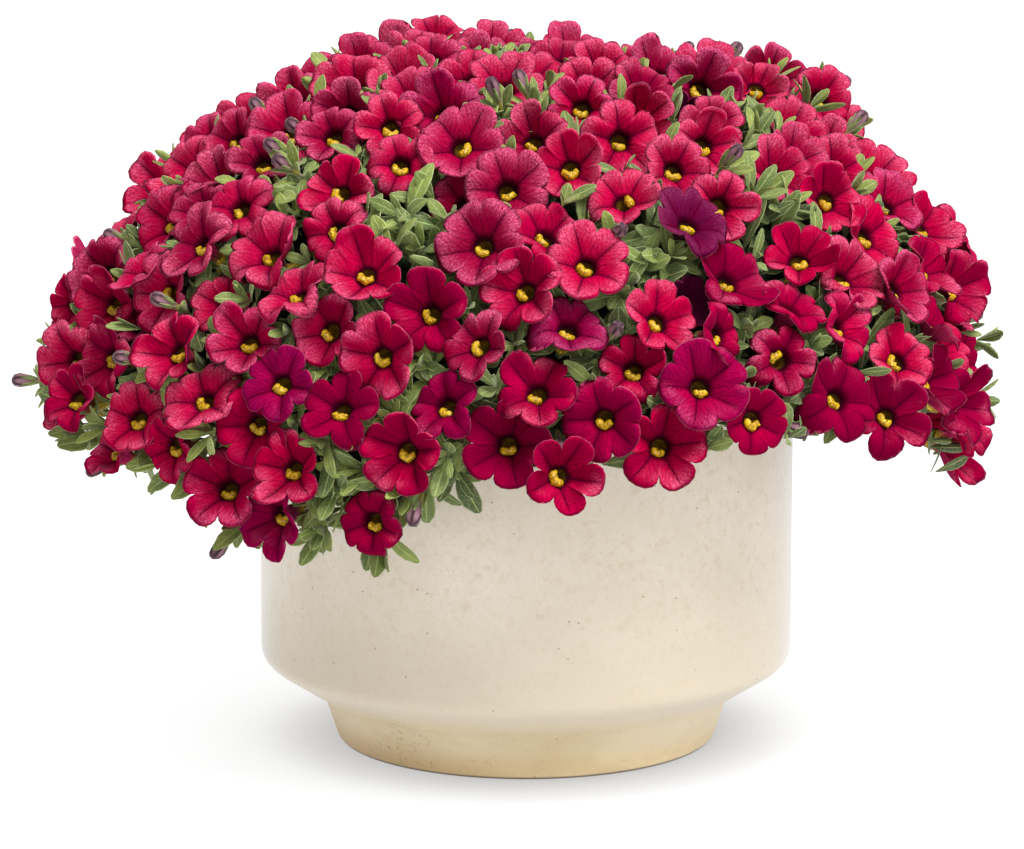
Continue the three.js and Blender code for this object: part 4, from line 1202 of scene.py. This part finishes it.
# Leaves whose tips would hang under the skirt are left out, but for those of the hanging tufts. The
# others are shortened until they cross no bloom and stay in the plant's outline.
on_solid = (leaf_root, leaf_ahead, leaf_flat, np.full(len(leaf_root), CAD_LEAF))
root, ahead, flat, length = (np.concatenate(parts) for parts in zip(in_tufts, single, on_solid, hanging))
tip_way = unit(root + ahead * (length - 2)[:, None] - HEART)
spare = np.where((tip_way[:, 0] < -0.1) & (tip_way[:, 1] < 0), 0.07, -0.02)
kept = over_mound(tip_way + spare[:, None] * [0, 0, 1])
kept[-len(hanging[0]):] = True
root, ahead, flat, length = (v[kept] for v in (root, ahead, flat, length))
leaf_bend = random.normal(0.22, 0.28, len(root))
leaf_width = np.clip(length * random.uniform(0.26, 0.42, len(root)), 2.4, 8.0)
for _ in range(4):
    tip = root + length[:, None] * ahead
    outside = (tip[:, 2] > HIGHEST_LEAF) | (tip[:, 0] > RIGHT_EDGE + 2) | (tip[:, 0] < -LEFT_EDGE)
    shorter = crosses_blooms(root, ahead, flat, length, leaf_bend, leaf_width) | outside
    length[shorter] *= 0.76
    leaf_width[shorter] *= 0.85
kept = ~crosses_blooms(root, ahead, flat, length, leaf_bend, leaf_width) & (length > SHORTEST_LEAF)
root, ahead, flat, length, leaf_bend, leaf_width = (
    v[kept] for v in (root, ahead, flat, length, leaf_bend, leaf_width))
leaf_owner = shoot_at(unit(root + 4 * ahead - HEART))
leaf_fold = random.uniform(0.05, 0.45, len(root))
leaf_tone = random.random(len(root))
# Painted light and shade: leaves are painted lighter high up, near the flowers' faces, and low on the left,
# and darker deep in the mound.
depth = reach(unit(root - HEART)) - np.linalg.norm(root - HEART, axis=1)
height = (root[:, 2] - HEART[2]) / 140
leaf_light = (random.beta(2.2, 2.2, len(root)) + 0.35 * (height - 0.6) - 0.035 * (depth - 10)
              + 0.5 * ((root[:, 0] < -30) & (height < 0.4)))
leaf_light = np.clip(leaf_light, 0, 1)


def leaves_of(shoot):
    """All the leaves that belong to a shoot."""
    mine = leaf_owner == shoot
    form = (v[mine] for v in (root, ahead, flat, length, leaf_width, leaf_bend, leaf_fold))
    return blades(*form, LEAF_THICKNESS, tone=leaf_tone[mine], light=leaf_light[mine])


# ---------- Buds ----------
# Long, pleated, dark purple buds that have not opened, each in a green calyx on its short stalk.

BUD_LENGTH = 20.0
TUFT_BUD_LENGTH = 16.0
HANGING_BUD_LENGTH = 18.0
BUD_SIDES = 20

bud_purple, tree, shader = new_material("pleated_bud", 0.6, specular_ior_level=0.3, sheen_weight=0.3,
                                        sheen_roughness=0.4, sheen_tint=(1.0, 0.8, 0.9, 1.0))
round_at, along_at = on_skin(tree)
pleat = put(tree, "Group", {"Around": round_at, "Count": 5.0, "Width": 0.36}, node_tree=flutes).outputs[0]
wire(tree, shader, "Base Color", layered(
    tree, tint(146, 106, 118),
    (pleat, tint(46, 16, 30)),
    (fade(tree, along_at, 0.85, 1.0, 0.0, 0.8), tint(52, 20, 34)),  # the folded mouth
    (fade(tree, along_at, 0.25, 0.5, 1.0, 0.0), tint(156, 148, 66)),  # the green tube
))


def buds(tip, ahead, length):
    """Pleated, blunt trumpets: the radius swells almost to the end, the folded mouth closes it, and
    five folds run along it."""
    t = np.array([0.0, 0.2, 0.4, 0.6, 0.8, 0.94, 1.0])
    swell = np.array([0.6, 0.9, 1.3, 1.9, 2.4, 2.0, 1.0])
    folds = np.array([0, 0, 0.06, 0.18, 0.2, 0.14, 0.04])
    turn = np.arange(BUD_SIDES) / BUD_SIDES * 2 * math.pi
    radius = swell[:, None] * (1 + np.cos(5 * turn)[None] * folds[:, None])
    a = unit(np.cross(ahead, ODD_WAY))
    spin = spokes(turn, a, np.cross(ahead, a))[:, None]
    start = tip - ahead * length[:, None]
    rings = (start[:, None, None] + (t[:, None] * length[:, None, None])[..., None] * ahead[:, None, None]
             + radius[None, ..., None] * spin)
    poles = np.stack([start, tip + 0.2 * ahead], axis=1)
    return loft(rings, poles, np.arange(BUD_SIDES + 1) / BUD_SIDES, [0, *t, 1.05], 3)


def bud_sepals(tip, ahead, length):
    """Five sepals that hold each bud from a quarter of its length."""
    a = unit(np.cross(ahead, ODD_WAY))
    out = spokes(np.arange(5) / 5 * 2 * math.pi, a, np.cross(ahead, a))
    start = (tip - ahead * 0.72 * length[:, None])[:, None] + 0.6 * out
    return sepals(start, ahead, out, 0.35, 9.0, 1.9, -0.2, 0.6, 0.6)


def is_free(tip, way, long):
    """Whether a straight bud of that length crosses no bloom."""
    n = len(tip)
    return ~crosses_blooms(tip - way * long, way, np.cross(way, [0.6, 0.0, 0.8]), np.full(n, long),
                           np.zeros(n), np.full(n, 4.0))


# Buds stand where the solids have theirs, in every fifth tuft, and in every third hanging one.
own_tip, own_way = cad_buds[:, 0] * 1.0, cad_buds[:, 1]
for _ in range(6):
    in_bloom = ~is_free(own_tip, own_way, 14.0)
    own_tip[in_bloom] -= 2 * own_way[in_bloom]
more_way = unit(tuft_axis[::5] + random.uniform(-0.4, 0.4, tuft_axis[::5].shape))
more_tip = tuft_base[::5] + more_way * 15
free = is_free(more_tip, more_way, 15.0) & (more_tip[:, 2] < HIGHEST_LEAF)
hanging_way = hang_axis[::3]
hanging_tip = at_depth(hang_way[::3], 14.0) + 20 * hanging_way
bud_tip = np.concatenate([own_tip, more_tip[free], hanging_tip])
bud_way = np.concatenate([own_way, more_way[free], hanging_way])
bud_length = np.repeat([BUD_LENGTH, TUFT_BUD_LENGTH, HANGING_BUD_LENGTH],
                       [len(own_tip), free.sum(), len(hanging_tip)])
bud_owner = shoot_at(unit(bud_tip - HEART))

# ---------- Putting the plant together ----------
# Each shoot is one piece with its stem, twigs, cushion, leaves and buds, and each bunch of blooms is
# one piece with its tubes, calyces and anthers.

for shoot in shoots:
    number = f"{shoot + 1:02d}"
    stem = tubes(stem_paths[shoot:shoot + 1], stem_radii, 8, STEM_ODD_WAY, material=1)
    skins = [cushion_of(shoot), stem, twigs_of(shoot), leaves_of(shoot)]
    mine = bud_owner == shoot
    if mine.any():
        own_buds = bud_tip[mine], bud_way[mine], bud_length[mine]
        skins += [buds(*own_buds), bud_sepals(*own_buds)]
    piece(f"foliage_{number}", skins, [leafy, stalk, felt, bud_purple], f"shoot_{number}")
    own = np.flatnonzero(owner == shoot)
    skins = [limbs(own), pedicels(own), calyces(own), anthers(own[~is_low[own]])]
    piece(f"trumpets_{number}", skins, [satin, tube_skin, felt, golden], f"blooms_{number}")

# ---------- Floor and light ----------
# A plain white floor without an edge, in a white room. The floor glows and lights the pot from below, and
# near the pot its glow is dimmed by ambient occlusion, a painted shadow.
# Four large soft lamps light the plant: from above, from the front and from behind each side.

FLOOR_HALF = 30.0
FLOOR_GREY = 0.15
FLOOR_GLOW = 0.95
SHADE_GLOW = 0.42
SHADE_WIDTH = 0.085
SKY = 0.3
# Each lamp's direction, spread in degrees and strength.
LAMPS = {"top": ((0.4, -0.4, 1.0), 38, 4.3), "front": ((0.3, -1.0, 0.3), 60, 0.88),
         "left": ((-1.0, 0.9, 0.1), 40, 0.8), "right": ((1.0, 0.9, 0.1), 40, 0.65)}

floor_corners = [(x * FLOOR_HALF, y * FLOOR_HALF, 0) for x, y in ((-1, -1), (1, -1), (1, 1), (-1, 1))]
floor_mesh = bpy.data.meshes.new("floor")
floor_mesh.from_pydata(floor_corners, [], [(0, 1, 2, 3)])
floor = bpy.data.objects.new("floor", floor_mesh)
bpy.context.scene.collection.objects.link(floor)
paper, tree, shader = new_material("white_floor", 0.9, specular_ior_level=0.0, emission_strength=1.0)
shader.inputs["Base Color"].default_value = (FLOOR_GREY, FLOOR_GREY, FLOOR_GREY, 1)
# Painted shadow: the floor's glow dims where ambient occlusion finds the pot close by.
open_sky = put(tree, "AmbientOcclusion", {"Distance": SHADE_WIDTH}, samples=8).outputs["AO"]
glow = fade(tree, open_sky, 0.0, 0.85, SHADE_GLOW, FLOOR_GLOW)
wire(tree, shader, "Emission Color", put(tree, "CombineColor", {0: glow, 1: glow, 2: glow}).outputs[0])
floor_mesh.materials.append(paper)
floor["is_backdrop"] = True

world = bpy.data.worlds.new("studio")
world.use_nodes = True
tree = world.node_tree
sky = tree.nodes["Background"]
sky.inputs["Color"].default_value = (1, 1, 1, 1)
seen = put(tree, "LightPath").outputs["Is Camera Ray"]
wire(tree, sky, "Strength", fade(tree, seen, 0.0, 1.0, SKY, 1.0))
bpy.context.scene.world = world

for name, (way, spread, strength) in LAMPS.items():
    lamp = bpy.data.lights.new(name, "SUN")
    lamp.angle = math.radians(spread)
    lamp.energy = strength
    made = bpy.data.objects.new(name, lamp)
    made.rotation_euler = Vector(way).to_track_quat("Z", "Y").to_euler()
    bpy.context.scene.collection.objects.link(made)

bpy.context.scene.view_settings.view_transform = "Standard"
bpy.context.scene.view_settings.look = "None"

({"cad": [list(map(float, corner)) for corner in CAD_BOX],
           "visual": [list(map(float, corner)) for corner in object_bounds()]})
